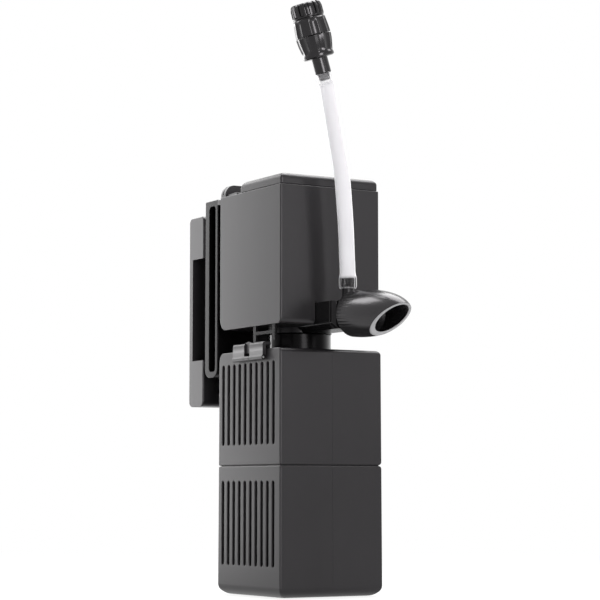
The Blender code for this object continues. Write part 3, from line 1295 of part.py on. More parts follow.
def main():
    clear_scene()
    shell = paint("black_shell", (0.035, 0.035, 0.037), 0.42)
    trim = paint("black_trim", (0.02, 0.02, 0.021), 0.38)
    inner = paint("inner_plastic", (0.05, 0.05, 0.055), 0.5)
    foam = paint("dark_foam", (0.03, 0.03, 0.032), 0.95)
    steel = paint("lamination_steel", (0.45, 0.45, 0.46), 0.35, 1.0)
    copper = paint("winding", (0.72, 0.33, 0.14), 0.4, 1.0)
    ferrite = paint("ferrite", (0.08, 0.08, 0.085), 0.6)
    ceramic = paint("ceramic", (0.9, 0.9, 0.87), 0.25)
    rubber = paint("black_rubber", (0.02, 0.02, 0.02), 0.7)
    silicone = paint("clear_silicone", (0.85, 0.87, 0.87), 0.15, 0.0, 0.45)
    cup_vinyl = paint("cup_rubber", (0.06, 0.06, 0.065), 0.35)

    lower = lower_module(shell)
    lower_sponge = sponge("lower_sponge", FLOOR_THICKNESS + GAP, LOWER_HEIGHT + LIP_HEIGHT - GAP, foam)
    upper_module(shell)
    media_grate(inner)
    grate_top = UPPER_FOOT + LIP_HEIGHT + LEDGE_THICKNESS + GAP + GRATE_THICKNESS
    sponge("upper_sponge", grate_top + GAP, UPPER_TOP - NECK_DEPTH - 2 * GAP, foam)
    clip = latch("latch_left", LATCH_SIDE, shell)
    latch_pin("latch_pin_left", LATCH_SIDE, steel)
    pivot("latch_left_hinge", latch_pivot(LATCH_SIDE), clip)

    head_housing(shell)
    lid = head_lid(shell)
    core_cover(trim)
    cable_gland(trim)
    intake_neck(trim)
    neck_seal(rubber)
    pump_chamber(trim)
    motor_can(inner)
    stator_core(steel)
    stator_coil(copper)
    wheel = impeller(inner)
    magnet = rotor_magnet(ferrite)
    rotor_shaft(ceramic)
    shaft_bush("shaft_bush_lower", NECK_TOP - BUSH_LENGTH - GAP, BUSH_LENGTH, rubber)
    shaft_bush("shaft_bush_upper", CAN_FOOT + CAN_HEIGHT, BUSH_TOP_LENGTH, rubber)
    outlet_ball(trim)
    seat = ball_seat(inner)
    mouth = nozzle(shell)
    air_hose(silicone)
    valve_body(trim)
    knob = valve_knob(trim)
    slide_rail(trim)
    frame = holder_frame(shell)
    cups = [suction_cup(f"suction_cup_{i + 1}", place, cup_vinyl) for i, place in enumerate(cup_places())]

    pivot("lower_module_slide", (0, 0, 0), lower, lower_sponge)
    pivot("lid_lift", (0, 0, HEAD_TOP), lid)
    pivot("impeller_axis", (0, 0, rotor_foot()), wheel, magnet)
    pan = pivot("nozzle_pan", ball_centre(), seat)
    roll = pivot("nozzle_roll", ball_centre(), mouth)
    roll.parent = pan
    roll.location = (0, 0, 0)
    pivot("valve_axis", valve_frame().translation, knob)
    pivot("holder_slide", (0, RAIL_BACK_Y, RAIL_BOTTOM_Z + KEY_FOOT), frame, *cups)


main()
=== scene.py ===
"""Studio picture of a submersible modular aquarium filter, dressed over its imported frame.

Shapes are worked out in millimetres and become metres in the mesh. +Z is up, the outlet looks along -Y and
the glass holder along +Y. The origin is the centre of the base that the filter stands on.
"""

import json
import logging
import math
from collections.abc import Callable, Sequence
from dataclasses import dataclass, field
from enum import Enum

import bpy
import numpy as np
from mathutils import Matrix, Vector


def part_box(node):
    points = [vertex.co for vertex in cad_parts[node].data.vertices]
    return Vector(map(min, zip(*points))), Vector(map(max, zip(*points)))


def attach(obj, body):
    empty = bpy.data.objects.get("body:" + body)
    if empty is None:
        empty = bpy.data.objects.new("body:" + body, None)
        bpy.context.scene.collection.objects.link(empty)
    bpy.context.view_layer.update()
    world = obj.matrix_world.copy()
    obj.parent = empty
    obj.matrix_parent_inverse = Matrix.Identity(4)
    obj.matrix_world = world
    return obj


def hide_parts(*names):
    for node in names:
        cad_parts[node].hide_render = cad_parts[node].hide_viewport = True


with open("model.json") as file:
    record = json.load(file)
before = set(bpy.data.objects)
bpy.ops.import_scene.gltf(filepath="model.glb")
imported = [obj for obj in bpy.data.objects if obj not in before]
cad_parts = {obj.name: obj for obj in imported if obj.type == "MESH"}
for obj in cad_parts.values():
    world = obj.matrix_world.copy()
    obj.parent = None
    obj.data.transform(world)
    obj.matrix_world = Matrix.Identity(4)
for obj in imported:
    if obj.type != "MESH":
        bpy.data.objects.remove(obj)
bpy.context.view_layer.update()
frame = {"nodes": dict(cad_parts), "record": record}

MM = 0.001
GAP = 0.3
SHARP_ANGLE = math.radians(34)
Points = np.ndarray
Colour = tuple[float, float, float]
Outline = Sequence[tuple[float, float]]
Swell = Callable[[Points, Points, Points], Points]
log = logging.getLogger("filter")


class Side(Enum):
    """The two mirrored sides of the filter, as the sign of X."""

    LEFT = -1
    RIGHT = 1


class Cut(Enum):
    """What a joined shape does to the one that it meets."""

    AWAY = "DIFFERENCE"
    ONTO = "UNION"


# ------------------------------------------------------------------ shader expressions


class Signal:
    """A socket that gives a number, with arithmetic that adds Math nodes."""

    def __init__(self, graph: "NodeGraph", socket: bpy.types.NodeSocket) -> None:
        """Keeps the socket and the graph that it belongs to."""
        self.graph = graph
        self.socket = socket

    def __add__(self, other: "Signal | float") -> "Signal":
        """The sum."""
        return self.graph.math("ADD", self, other)

    __radd__ = __add__

    def __sub__(self, other: "Signal | float") -> "Signal":
        """The difference."""
        return self.graph.math("SUBTRACT", self, other)

    def __rsub__(self, other: float) -> "Signal":
        """A number less this signal."""
        return self.graph.math("SUBTRACT", other, self)

    def __mul__(self, other: "Signal | float") -> "Signal":
        """The product."""
        return self.graph.math("MULTIPLY", self, other)

    __rmul__ = __mul__

    def __pow__(self, other: float) -> "Signal":
        """The power."""
        return self.graph.math("POWER", self, other)

    def clamped(self) -> "Signal":
        """The signal held between 0 and 1."""
        return self.graph.math("ADD", self, 0.0, use_clamp=True)

    def step(self, low: float, high: float) -> "Signal":
        """A smooth step from 0 at low to 1 at high."""
        node = self.graph.node(
            "ShaderNodeMapRange",
            {"interpolation_type": "SMOOTHSTEP"},
            {"Value": self, "From Min": low, "From Max": high},
        )
        return Signal(self.graph, node.outputs["Result"])


class NodeGraph:
    """A node tree that is filled from Python expressions."""

    def __init__(self, tree: bpy.types.NodeTree) -> None:
        """Empties a tree and keeps it."""
        self.tree = tree
        self.tree.nodes.clear()

    def link(self, source: bpy.types.NodeSocket, target: bpy.types.NodeSocket) -> None:
        """Links one socket to another."""
        self.tree.links.new(source, target)

    def feed(self, target: bpy.types.NodeSocket, value: object) -> None:
        """Gives a socket a link, a colour or a number.

        Args:
            target: The input socket.
            value: A Signal, a socket, a number or a sequence.
        """
        if isinstance(value, Signal):
            self.link(value.socket, target)
        elif isinstance(value, bpy.types.NodeSocket):
            self.link(value, target)
        else:
            target.default_value = value

    def node(self, kind: str, settings: dict, sockets: dict) -> bpy.types.Node:
        """Adds any node: its settings first, then its sockets' values or links.

        Args:
            kind: The node's type.
            settings: Properties, or stops as (place, colour) pairs for a ramp.
            sockets: Input name or index to value, Signal or socket.

        Returns:
            The new node.
        """
        node = self.tree.nodes.new(kind)
        for name, value in settings.items():
            if name == "stops":
                ramp = node.color_ramp
                for _ in range(len(value) - len(ramp.elements)):
                    ramp.elements.new(0.5)
                for element, (place, colour) in zip(ramp.elements, value):
                    element.position = place
                    element.color = (*colour, 1)
            else:
                setattr(node, name, value)
        for name, value in sockets.items():
            self.feed(node.inputs[name], value)
        return node

    def math(self, operation: str, first: object, second: object, use_clamp: bool = False) -> Signal:
        """Adds a Math node and returns its value."""
        settings = {"operation": operation, "use_clamp": use_clamp}
        return Signal(self, self.node("ShaderNodeMath", settings, {0: first, 1: second}).outputs[0])

    def white_rays(self) -> Signal:
        """One for rays from the camera, off gloss or through glass, and 0 for those that only carry light."""
        rays = self.node("ShaderNodeLightPath", {}, {})
        names = ("Is Camera Ray", "Is Glossy Ray", "Is Transmission Ray")
        return sum(Signal(self, rays.outputs[name]) for name in names)


class Graph(NodeGraph):
    """The node tree of one material."""

    def __init__(self, name: str) -> None:
        """Makes an empty material with its Principled shader and output.

        Args:
            name: The material's name.
        """
        self.material = bpy.data.materials.new(name)
        self.material.use_nodes = True
        super().__init__(self.material.node_tree)
        self.output = self.node("ShaderNodeOutputMaterial", {}, {})
        self.shader = self.node("ShaderNodeBsdfPrincipled", {}, {})
        self.link(self.shader.outputs["BSDF"], self.output.inputs["Surface"])
        self.place = self.node("ShaderNodeTexCoord", {}, {}).outputs["Object"]

    def noise(self, scale: float, detail: float = 3.0, where: bpy.types.NodeSocket | None = None) -> Signal:
        """A noise value about 0.5.

        Args:
            scale: Cells to a metre.
            detail: Octaves.
            where: The coordinates, or the object's own.

        Returns:
            The noise.
        """
        sockets = {"Vector": where or self.place, "Scale": scale, "Detail": detail}
        return Signal(self, self.node("ShaderNodeTexNoise", {}, sockets).outputs["Fac"])

    def cells(self, scale: float) -> Signal:
        """The distance to the nearest of scattered points, in cells."""
        node = self.node("ShaderNodeTexVoronoi", {}, {"Vector": self.place, "Scale": scale})
        return Signal(self, node.outputs["Distance"])

    def stretched(self, x: float, y: float, z: float) -> bpy.types.NodeSocket:
        """The object's coordinates, scaled along each axis."""
        sockets = {"Vector": self.place, "Scale": (x, y, z)}
        return self.node("ShaderNodeMapping", {}, sockets).outputs["Vector"]

    def axis(self, name: str) -> Signal:
        """One of the object's coordinates, in metres."""
        return Signal(self, self.node("ShaderNodeSeparateXYZ", {}, {"Vector": self.place}).outputs[name])

    def facing(self) -> Signal:
        """How far the surface turns away from the viewer, from 0 to 1."""
        return Signal(self, self.node("ShaderNodeLayerWeight", {}, {"Blend": 0.5}).outputs["Facing"])

    def attribute(self, name: str) -> Signal:
        """A number that the mesh holds on its points."""
        return Signal(self, self.node("ShaderNodeAttribute", {"attribute_name": name}, {}).outputs["Fac"])

    def ramp(self, value: Signal, stops: Sequence[tuple[float, Colour]]) -> bpy.types.NodeSocket:
        """A colour read from stops."""
        return self.node("ShaderNodeValToRGB", {"stops": list(stops)}, {"Fac": value}).outputs["Color"]

    def bump(self, height: Signal, strength: float, distance: float) -> bpy.types.NodeSocket:
        """A normal from a height.

        Args:
            height: The relief.
            strength: The share of it that shows.
            distance: Its depth in metres.

        Returns:
            The bumped normal.
        """
        sockets = {"Strength": strength, "Distance": distance, "Height": height}
        return self.node("ShaderNodeBump", {}, sockets).outputs["Normal"]

    def principled(self, **values: object) -> None:
        """Feeds the shader's sockets, with spaces written as underscores."""
        for name, value in values.items():
            self.feed(self.shader.inputs[name.replace("_", " ")], value)


def scaled(colour: Colour, share: float) -> Colour:
    """A colour made lighter or darker."""
    return tuple(min(1.0, part * share) for part in colour)


@dataclass(frozen=True)
class MouldedPlastic:
    """Injection-moulded plastic: an even satin with a fine tool grain and faint flow marks."""

    name: str
    colour: Colour
    roughness: float
    grain: float = 0.35
    flow: float = 0.35
    # A paler grey painted on a rim: a painted highlight where it catches the light.
    painted_rim_highlight: Colour | None = None
    shine: float = 0.5
    rim: float = 0.0

    def material(self) -> bpy.types.Material:
        """Builds the material: colour, roughness and bump all vary a little over the surface.

        Where the mouth's rim is painted a paler grey as a painted highlight, the mesh attribute cut says how
        far a point belongs to it. Where the finish has a rim, a clear coat grows as the surface turns away
        from the viewer.
        """
        graph = Graph(self.name)
        clouds = graph.noise(22.0, 4.0)
        streaks = graph.noise(1.0, 3.0, graph.stretched(60.0, 60.0, 9.0))
        grain = graph.noise(2600.0, 2.0)
        tone = (clouds * 0.6 + streaks * 0.4).clamped()
        low, high = scaled(self.colour, 0.86), scaled(self.colour, 1.16)
        if self.painted_rim_highlight is None:
            colour = graph.ramp(tone, [(0.3, low), (0.7, high)])
        else:
            # The rim's paler grey is a painted highlight, not a colour of the plastic.
            reach = (tone * 0.5 + graph.attribute("cut") * 0.6).clamped()
            face = [(0.75, scaled(self.painted_rim_highlight, 0.9)), (1.0, self.painted_rim_highlight)]
            colour = graph.ramp(reach, [(0.15, low), (0.35, high), *face])
        rough = (tone - 0.5) * 0.10 + (grain - 0.5) * 0.05 + self.roughness
        relief = grain * self.grain + graph.noise(420.0, 2.0) * 0.5 + streaks * self.flow * 4.0
        graph.principled(
            Base_Color=colour,
            Roughness=rough.clamped(),
            Normal=graph.bump(relief, 0.12, 0.00012),
            IOR=1.5,
            Specular_IOR_Level=self.shine,
            Specular_Tint=(1.0, 0.965, 1.0, 1.0),
            Coat_Weight=(graph.facing().step(0.25, 0.7) * self.rim).clamped() if self.rim else 0.0,
            Coat_Roughness=0.1,
        )
        return graph.material


@dataclass(frozen=True)
class HoseSilicone:
    """Milky hose: clear at its ends, where it is stretched thin, and white along its edges, partly from the
    longer path through the milky wall and partly as a painted reflection.
    """

    name: str

    def material(self) -> bpy.types.Material:
        """Builds the material; the mesh attribute clear says how thin the wall is."""
        graph = Graph(self.name)
        clear = graph.attribute("clear")
        cloud = graph.noise(1.0, 2.0, graph.stretched(240.0, 240.0, 26.0))
        # Whiter and more opaque where the wall turns away: partly the milky wall's depth, partly a painted
        # reflection.
        edge = graph.facing().step(0.45, 0.85)
        milk_and_edge_sheen = graph.ramp(
            (cloud * 0.3 + edge * 0.7).clamped(),
            [(0.0, (0.62, 0.61, 0.63)), (0.3, (0.70, 0.69, 0.71)), (0.85, (0.96, 0.95, 0.97))],
        )
        body = (edge * 0.14 + 0.82) * (1 - clear) + (edge**2 * 0.92 + 0.012) * clear
        graph.principled(
            Base_Color=milk_and_edge_sheen,
            Roughness=(cloud * 0.06 + 0.3).clamped(),
            Alpha=body.clamped(),
            Normal=graph.bump(cloud, 0.05, 0.0001),
            Specular_IOR_Level=0.1,
            IOR=1.41,
            Subsurface_Weight=0.35,
            Subsurface_Radius=(0.006, 0.006, 0.006),
        )
        return graph.material


@dataclass(frozen=True)
class FilterFoam:
    """Open-cell foam: round pores of two sizes between dark strands, the pores painted darker still towards
    their middles as painted shade.
    """

    name: str
    colour: Colour

    def material(self) -> bpy.types.Material:
        """Builds the material from cells about 1 mm across."""
        graph = Graph(self.name)
        pores = graph.cells(900.0).step(0.15, 0.6)
        fine = graph.cells(2100.0).step(0.1, 0.6)
        strand = (pores * 0.7 + fine * 0.3).clamped()
        # Darker towards each pore's middle: painted shade inside the pores.
        colour = graph.ramp(strand, [(0.0, scaled(self.colour, 0.25)), (1.0, scaled(self.colour, 1.3))])
        graph.principled(
            Base_Color=colour,
            Roughness=(0.88 + graph.noise(300.0) * 0.1).clamped(),
            Normal=graph.bump(strand, 0.9, 0.0006),
        )
        return graph.material


@dataclass(frozen=True)
class SheetSteel:
    """Rolled steel sheet, stacked along one axis or drawn along it."""

    name: str
    colour: Colour
    laminations: float = 0.0

    def material(self) -> bpy.types.Material:
        """Builds the material: streaks, and lines between laminations 0.5 mm thick where it is a stack."""
        graph = Graph(self.name)
        streaks = graph.noise(1.0, 5.0, graph.stretched(900.0, 900.0, 60.0))
        tint = graph.ramp(streaks, [(0.3, scaled(self.colour, 0.8)), (0.7, scaled(self.colour, 1.15))])
        relief = streaks * 0.3
        if self.laminations:
            height = graph.axis("Z") * (1 / self.laminations)
            relief = relief + graph.math("PINGPONG", height, 0.5) * 2.0
        graph.principled(
            Base_Color=tint,
            Metallic=1.0,
            Roughness=(streaks * 0.2 + 0.25).clamped(),
            Normal=graph.bump(relief, 0.6, 0.0001),
        )
        return graph.material


@dataclass(frozen=True)
class WoundWire:
    """Enamelled copper wire, wound round an X axis in turns 0.5 mm apart."""

    name: str
    colour: Colour
    pitch: float = 0.0005

    def material(self) -> bpy.types.Material:
        """Builds the material with one round ridge to a turn, and painted shade darkening the creases between
        turns.
        """
        graph = Graph(self.name)
        turn = graph.math("PINGPONG", graph.axis("X") * (1 / self.pitch), 0.5) * 2.0
        wear = graph.noise(500.0)
        # The wire is painted darker between its turns: painted shade in the creases.
        tint = graph.ramp(turn * 0.7 + wear * 0.3, [(0.1, scaled(self.colour, 0.4)), (0.8, self.colour)])
        graph.principled(
            Base_Color=tint,
            Metallic=0.9,
            Roughness=(wear * 0.2 + 0.25).clamped(),
            Normal=graph.bump(turn, 0.8, 0.0002),
        )
        return graph.material


@dataclass(frozen=True)
class GroundCeramic:
    """A ground ceramic or ferrite surface with a fine speckle."""

    name: str
    colour: Colour
    roughness: float

    def material(self) -> bpy.types.Material:
        """Builds the material from fine specks and ring marks."""
        graph = Graph(self.name)
        specks = graph.cells(1500.0).step(0.1, 0.7)
        rings = graph.noise(1.0, 3.0, graph.stretched(40.0, 40.0, 2500.0))
        tint = graph.ramp(specks, [(0.0, scaled(self.colour, 0.8)), (1.0, scaled(self.colour, 1.1))])
        graph.principled(
            Base_Color=tint,
            Roughness=(rings * 0.15 + self.roughness).clamped(),
            Normal=graph.bump(rings, 0.2, 0.00005),
        )
        return graph.material


@dataclass(frozen=True)
class SoftRubber:
    """Moulded soft vinyl or rubber, with a bloom that dulls it in patches."""

    name: str
    colour: Colour
    roughness: float

    def material(self) -> bpy.types.Material:
        """Builds the material."""
        graph = Graph(self.name)
        bloom = graph.noise(90.0, 5.0)
        tint = graph.ramp(bloom, [(0.3, self.colour), (0.8, scaled(self.colour, 1.7))])
        graph.principled(
            Base_Color=tint,
            Roughness=(bloom * 0.25 + self.roughness).clamped(),
            Normal=graph.bump(graph.noise(1800.0, 2.0), 0.1, 0.0001),
        )
        return graph.material


Finish = MouldedPlastic | HoseSilicone | FilterFoam | SheetSteel | WoundWire | GroundCeramic | SoftRubber

SHELL = MouldedPlastic("satin_black_shell", (0.0095, 0.0089, 0.0096), 0.33, shine=0.32)
TRIM = MouldedPlastic("smooth_black_trim", (0.0040, 0.0038, 0.0041), 0.26, shine=0.2)
# The neck's deeper black and weaker gloss are painted shade, for the shadow of the head above it.
NECK_PAINTED_SHADE = MouldedPlastic("neck_black_painted_shade", (0.0016, 0.0015, 0.0016), 0.22, shine=0.06, rim=1.0)
# The rail's own deeper black, also put on the catch as painted shade under the head.
RAIL_AND_CATCH_SHADE = MouldedPlastic("deep_black_rail_and_catch_shade", (0.0018, 0.0017, 0.0018), 0.25, shine=0.12)
# The nozzle's pale rim colour is a painted highlight on the mouth's rim.
NOZZLE = MouldedPlastic(
    "polished_black_nozzle",
    (0.0085, 0.0081, 0.0086),
    0.25,
    grain=0.2,
    painted_rim_highlight=(0.22, 0.22, 0.224),
    shine=0.45,
)
VALVE = MouldedPlastic("gloss_black_valve", (0.0014, 0.0013, 0.0015), 0.2, grain=0.1, shine=0.42)
INNER = MouldedPlastic("dark_inner_plastic", (0.012, 0.0115, 0.012), 0.45)
HOSE = HoseSilicone("milky_hose")
FOAM = FilterFoam("black_foam", (0.006, 0.006, 0.0062))
STEEL = SheetSteel("drawn_steel", (0.55, 0.55, 0.56))
CORE = SheetSteel("lamination_stack", (0.45, 0.45, 0.46), laminations=0.0005)
WIRE = WoundWire("coil_wire", (0.72, 0.33, 0.14))
FERRITE = GroundCeramic("ferrite_magnet", (0.06, 0.06, 0.065), 0.4)
CERAMIC = GroundCeramic("white_ceramic", (0.85, 0.85, 0.82), 0.15)
RUBBER = SoftRubber("seal_rubber", (0.018, 0.018, 0.018), 0.55)
CUP = SoftRubber("cup_vinyl", (0.03, 0.03, 0.032), 0.22)

_materials: dict[str, bpy.types.Material] = {}


def material_of(finish: Finish) -> bpy.types.Material:
    """The material of a finish, built once."""
    if finish.name not in _materials:
        _materials[finish.name] = finish.material()
    return _materials[finish.name]


# ------------------------------------------------------------------ surfaces


def make_object(
    name: str, points: Points, faces: Sequence[Sequence[int]], place: Matrix | None = None
) -> bpy.types.Object:
    """Turns points in millimetres and faces into an object at the origin.

    Args:
        name: The object's name.
        points: Its points, one row each, in millimetres.
        faces: Its faces as point numbers.
        place: Where the points go, as a matrix in metres.

    Returns:
        The linked object with outward normals.
    """
    mesh = bpy.data.meshes.new(name)
    mesh.from_pydata((points.reshape(-1, 3) * MM).tolist(), [], faces)
    if place is not None:
        mesh.transform(place)
    mesh.update()
    obj = bpy.data.objects.new(name, mesh)
    bpy.context.scene.collection.objects.link(obj)
    outward(obj)
    return obj


def outward(obj: bpy.types.Object) -> None:
    """Turns a closed mesh the right way out, so that its signed volume is positive.

    The volume is a sixth of the sum of each triangle's determinant.
    """
    mesh = obj.data
    mesh.calc_loop_triangles()
    points = np.empty(len(mesh.vertices) * 3)
    mesh.vertices.foreach_get("co", points)
    corners = np.empty(len(mesh.loop_triangles) * 3, np.int32)
    mesh.loop_triangles.foreach_get("vertices", corners)
    triangle = points.reshape(-1, 3)[corners].reshape(-1, 3, 3)
    if np.linalg.det(triangle).sum() < 0:
        mesh.flip_normals()


def shaded(obj: bpy.types.Object, angle: float = SHARP_ANGLE) -> bpy.types.Object:
    """Shades a mesh smooth, apart from edges sharper than an angle, with large faces kept flat."""
    obj.data.shade_smooth()
    obj.data.set_sharp_from_angle(angle=angle)
    weighted = obj.modifiers.new("flat_faces", "WEIGHTED_NORMAL")
    weighted.keep_sharp = True
    weighted.weight = 80
    return baked(obj)


def skin(name: str, rings: Points, ring: bool = False, place: Matrix | None = None) -> bpy.types.Object:
    """Skins rows of points into a closed surface.

    Row i joins row i + 1 with quads that go once round. The ends are capped, or joined where the rows close
    on themselves.

    Args:
        name: The object's name.
        rings: Points as (row, place round the row, xyz), in millimetres.
        ring: Whether the last row joins the first.
        place: Where the shape goes, in metres.

    Returns:
        The object.
    """
    rows, count = rings.shape[:2]
    first = np.arange(rows if ring else rows - 1)[:, None] * count
    turn = np.arange(count)[None, :]
    after = (turn + 1) % count
    above = (first + count) % (rows * count)
    quads = np.stack([first + turn, first + after, above + after, above + turn], axis=-1).reshape(-1, 4)
    faces = quads.tolist()
    if not ring:
        faces += [list(range(count))[::-1], list(range((rows - 1) * count, rows * count))]
    return make_object(name, rings, faces, place)


def turned(
    name: str,
    profile: Sequence[tuple[float, float]],
    segments: int,
    ring: bool = False,
    place: Matrix | None = None,
    swell: Swell | None = None,
) -> bpy.types.Object:
    """A surface of revolution about Z: the point at radius r and turn a is (r cos a, r sin a, h).

    Args:
        name: The object's name.
        profile: Pairs of radius and height, in millimetres.
        segments: Steps round.
        ring: Whether the profile closes on itself.
        place: Where the shape goes.
        swell: A change of radius as a function of radius, height and angle arrays.

    Returns:
        The object.
    """
    radius, height = np.array(profile, float).T
    angle = np.arange(segments) * 2 * np.pi / segments
    r, h = np.meshgrid(radius, angle, indexing="ij")[0], np.meshgrid(height, angle, indexing="ij")[0]
    a = np.broadcast_to(angle, r.shape)
    if swell is not None:
        r = r + swell(r, h, a)
    r = np.maximum(r, 1e-4)
    rings = np.stack([r * np.cos(a), r * np.sin(a), h], axis=-1)
    return skin(name, rings, ring, place)


def rounded_profile(corners: Outline, radii: Sequence[float], steps: int = 4) -> list[tuple[float, float]]:
    """Rounds the inner corners of an open profile with arcs of given radii.

    Each corner is cut where the arc is tangent to its two sides: at r / tan(half the angle) from it.

    Args:
        corners: The profile's corners.
        radii: A radius for each corner, 0 at the ends.
        steps: Steps in an arc.

    Returns:
        The rounded profile.
    """
    points: list[tuple[float, float]] = []
    for i, (corner, radius) in enumerate(zip(corners, radii)):
        if radius <= 0 or i in (0, len(corners) - 1):
            points.append(tuple(corner))
            continue
        here = np.array(corner, float)
        back = np.array(corners[i - 1], float) - here
        ahead = np.array(corners[i + 1], float) - here
        back, ahead = back / np.linalg.norm(back), ahead / np.linalg.norm(ahead)
        half = math.acos(np.clip(back @ ahead, -1, 1)) / 2
        reach = radius / math.tan(half)
        middle = back + ahead
        centre = here + middle / np.linalg.norm(middle) * radius / math.sin(half)
        start, end = here + back * reach - centre, here + ahead * reach - centre
        sweep = math.acos(np.clip(start @ end / radius**2, -1, 1))
        share = np.arange(steps + 1) / steps
        fall, rise = np.sin((1 - share) * sweep)[:, None], np.sin(share * sweep)[:, None]
        arc = (fall * start + rise * end) / math.sin(sweep)
        points += [tuple(p) for p in centre + arc]
    return points


def rounded_rectangle(
    low: Sequence[float], high: Sequence[float], radii: Sequence[float], steps: int = 6
) -> Points:
    """A rectangle's outline with rounded corners, anticlockwise from the low corner.

    Args:
        low: The lowest corner.
        high: The highest corner.
        radii: The four radii, from the low corner round.
        steps: Steps in each corner.

    Returns:
        The outline's points, one row each.
    """
    sign = np.array([(1, 1), (-1, 1), (-1, -1), (1, -1)])
    corner = np.array([(low[0], low[1]), (high[0], low[1]), (high[0], high[1]), (low[0], high[1])], float)
    radius = np.maximum(np.array(radii, float), 1e-3)[:, None]
    centre = corner + sign * radius
    angle = np.pi * (1 + np.arange(4)[:, None] / 2 + np.arange(steps + 1)[None, :] / (2 * steps))
    circle = np.stack([np.cos(angle), np.sin(angle)], axis=-1)
    return (centre[:, None, :] + radius[:, :, None] * circle).reshape(-1, 2)


def across(axis: str, outline: Points, at: float) -> Points:
    """Sets a flat outline square to an axis, at one place along it."""
    level = np.full(len(outline), float(at))
    u, v = outline[:, 0], outline[:, 1]
    columns = {"X": (level, u, v), "Y": (u, level, v), "Z": (u, v, level)}
    return np.stack(columns[axis], axis=-1)


def prism(name: str, axis: str, outline: Points | Outline, start: float, end: float) -> bpy.types.Object:
    """An outline carried straight along an axis."""
    flat = np.array(outline, float)
    return skin(name, np.stack([across(axis, flat, start), across(axis, flat, end)]))


def block(name: str, low: Sequence[float], high: Sequence[float], edge: float = 0.0) -> bpy.types.Object:
    """A box between two corners, with its edges rounded if an edge radius is given."""
    outline = [(low[0], low[1]), (high[0], low[1]), (high[0], high[1]), (low[0], high[1])]
    obj = prism(name, "Z", outline, low[2], high[2])
    return softened(obj, edge) if edge else obj


def rod(
    name: str, axis: str, centre: Sequence[float], radius: float, start: float, end: float, segments: int = 48
) -> bpy.types.Object:
    """A cylinder along an axis; centre gives the other two coordinates."""
    angle = np.arange(segments) * 2 * np.pi / segments
    circle = np.stack([centre[0] + radius * np.cos(angle), centre[1] + radius * np.sin(angle)], axis=-1)
    return prism(name, axis, circle, start, end)


def hold_values(obj: bpy.types.Object, name: str, values: Points) -> None:
    """Keeps a number for each point of a mesh, for its material to read."""
    attribute = obj.data.attributes.new(name, "FLOAT", "POINT")
    attribute.data.foreach_set("value", values.astype(np.float32))


def baked(obj: bpy.types.Object) -> bpy.types.Object:
    """Makes an object's modifiers part of its mesh."""
    graph = bpy.context.evaluated_depsgraph_get()
    mesh = bpy.data.meshes.new_from_object(obj.evaluated_get(graph))
    old = obj.data
    obj.modifiers.clear()
    obj.data = mesh
    mesh.name = obj.name
    bpy.data.meshes.remove(old)
    return obj


def softened(
    obj: bpy.types.Object, width: float, segments: int = 3, angle: float = math.radians(28)
) -> bpy.types.Object:
    """Rounds the edges of an object that are sharper than an angle.

    Args:
        obj: The object.
        width: The rounding's width, in millimetres.
        segments: Faces across the rounding.
        angle: The least angle of an edge that is rounded.

    Returns:
        The same object.
    """
    bevel = obj.modifiers.new("edges", "BEVEL")
    bevel.width = width * MM
    bevel.segments = segments
    bevel.limit_method = "ANGLE"
    bevel.angle_limit = angle
    bevel.miter_outer = "MITER_ARC"
    bevel.use_clamp_overlap = True
    return baked(obj)


def joined(obj: bpy.types.Object, how: Cut, *others: bpy.types.Object) -> bpy.types.Object:
    """Cuts other shapes away from an object or fuses them to it, and removes them."""
    for other in others:
        change = obj.modifiers.new(other.name, "BOOLEAN")
        change.operation = how.value
        change.object = other
    baked(obj)
    for other in others:
        mesh = other.data
        bpy.data.objects.remove(other)
        bpy.data.meshes.remove(mesh)
    return obj


def merged(name: str, pieces: Sequence[bpy.types.Object]) -> bpy.types.Object:
    """Gathers shapes that don't touch into one mesh, and removes the originals."""
    points: list[Points] = []
    faces: list[list[int]] = []
    start = 0
    for piece in pieces:
        co = np.empty(len(piece.data.vertices) * 3)
        piece.data.vertices.foreach_get("co", co)
        points.append(co.reshape(-1, 3) / MM)
        faces += [[start + v for v in polygon.vertices] for polygon in piece.data.polygons]
        start += len(piece.data.vertices)
        mesh = piece.data
        bpy.data.objects.remove(piece)
        bpy.data.meshes.remove(mesh)
    return make_object(name, np.concatenate(points), faces)


def rounded_inset(height: Points, radius: float) -> Points:
    """How far a rounded edge stands in from its face, at heights above the edge's foot.

    It is r - sqrt(r^2 - (r - h)^2) below the radius, and nothing above it.
    """
    if radius <= 0:
        return np.zeros_like(height)
    below = np.clip(radius - height, 0, radius)
    return radius - np.sqrt(radius**2 - below**2)


BOX_SIDES = ("left", "front", "rear", "right")


@dataclass(frozen=True)
class Edges:
    """Radii of the edges at a box's foot or top. The right one is as the left one if it isn't given."""

    left: float = 0.0
    front: float = 0.0
    rear: float = 0.0
    right: float | None = None

    def reach(self, side: str) -> float:
        """The radius at one side."""
        radius = getattr(self, side)
        return self.left if radius is None else radius

    def heights(self, steps: int = 8) -> Points:
        """Heights that follow the roundings closely enough."""
        angle = np.linspace(0, np.pi / 2, steps + 1)
        radii = [self.reach(side) for side in BOX_SIDES]
        return np.concatenate([np.array([0.0])] + [r * (1 - np.cos(angle)) for r in radii])


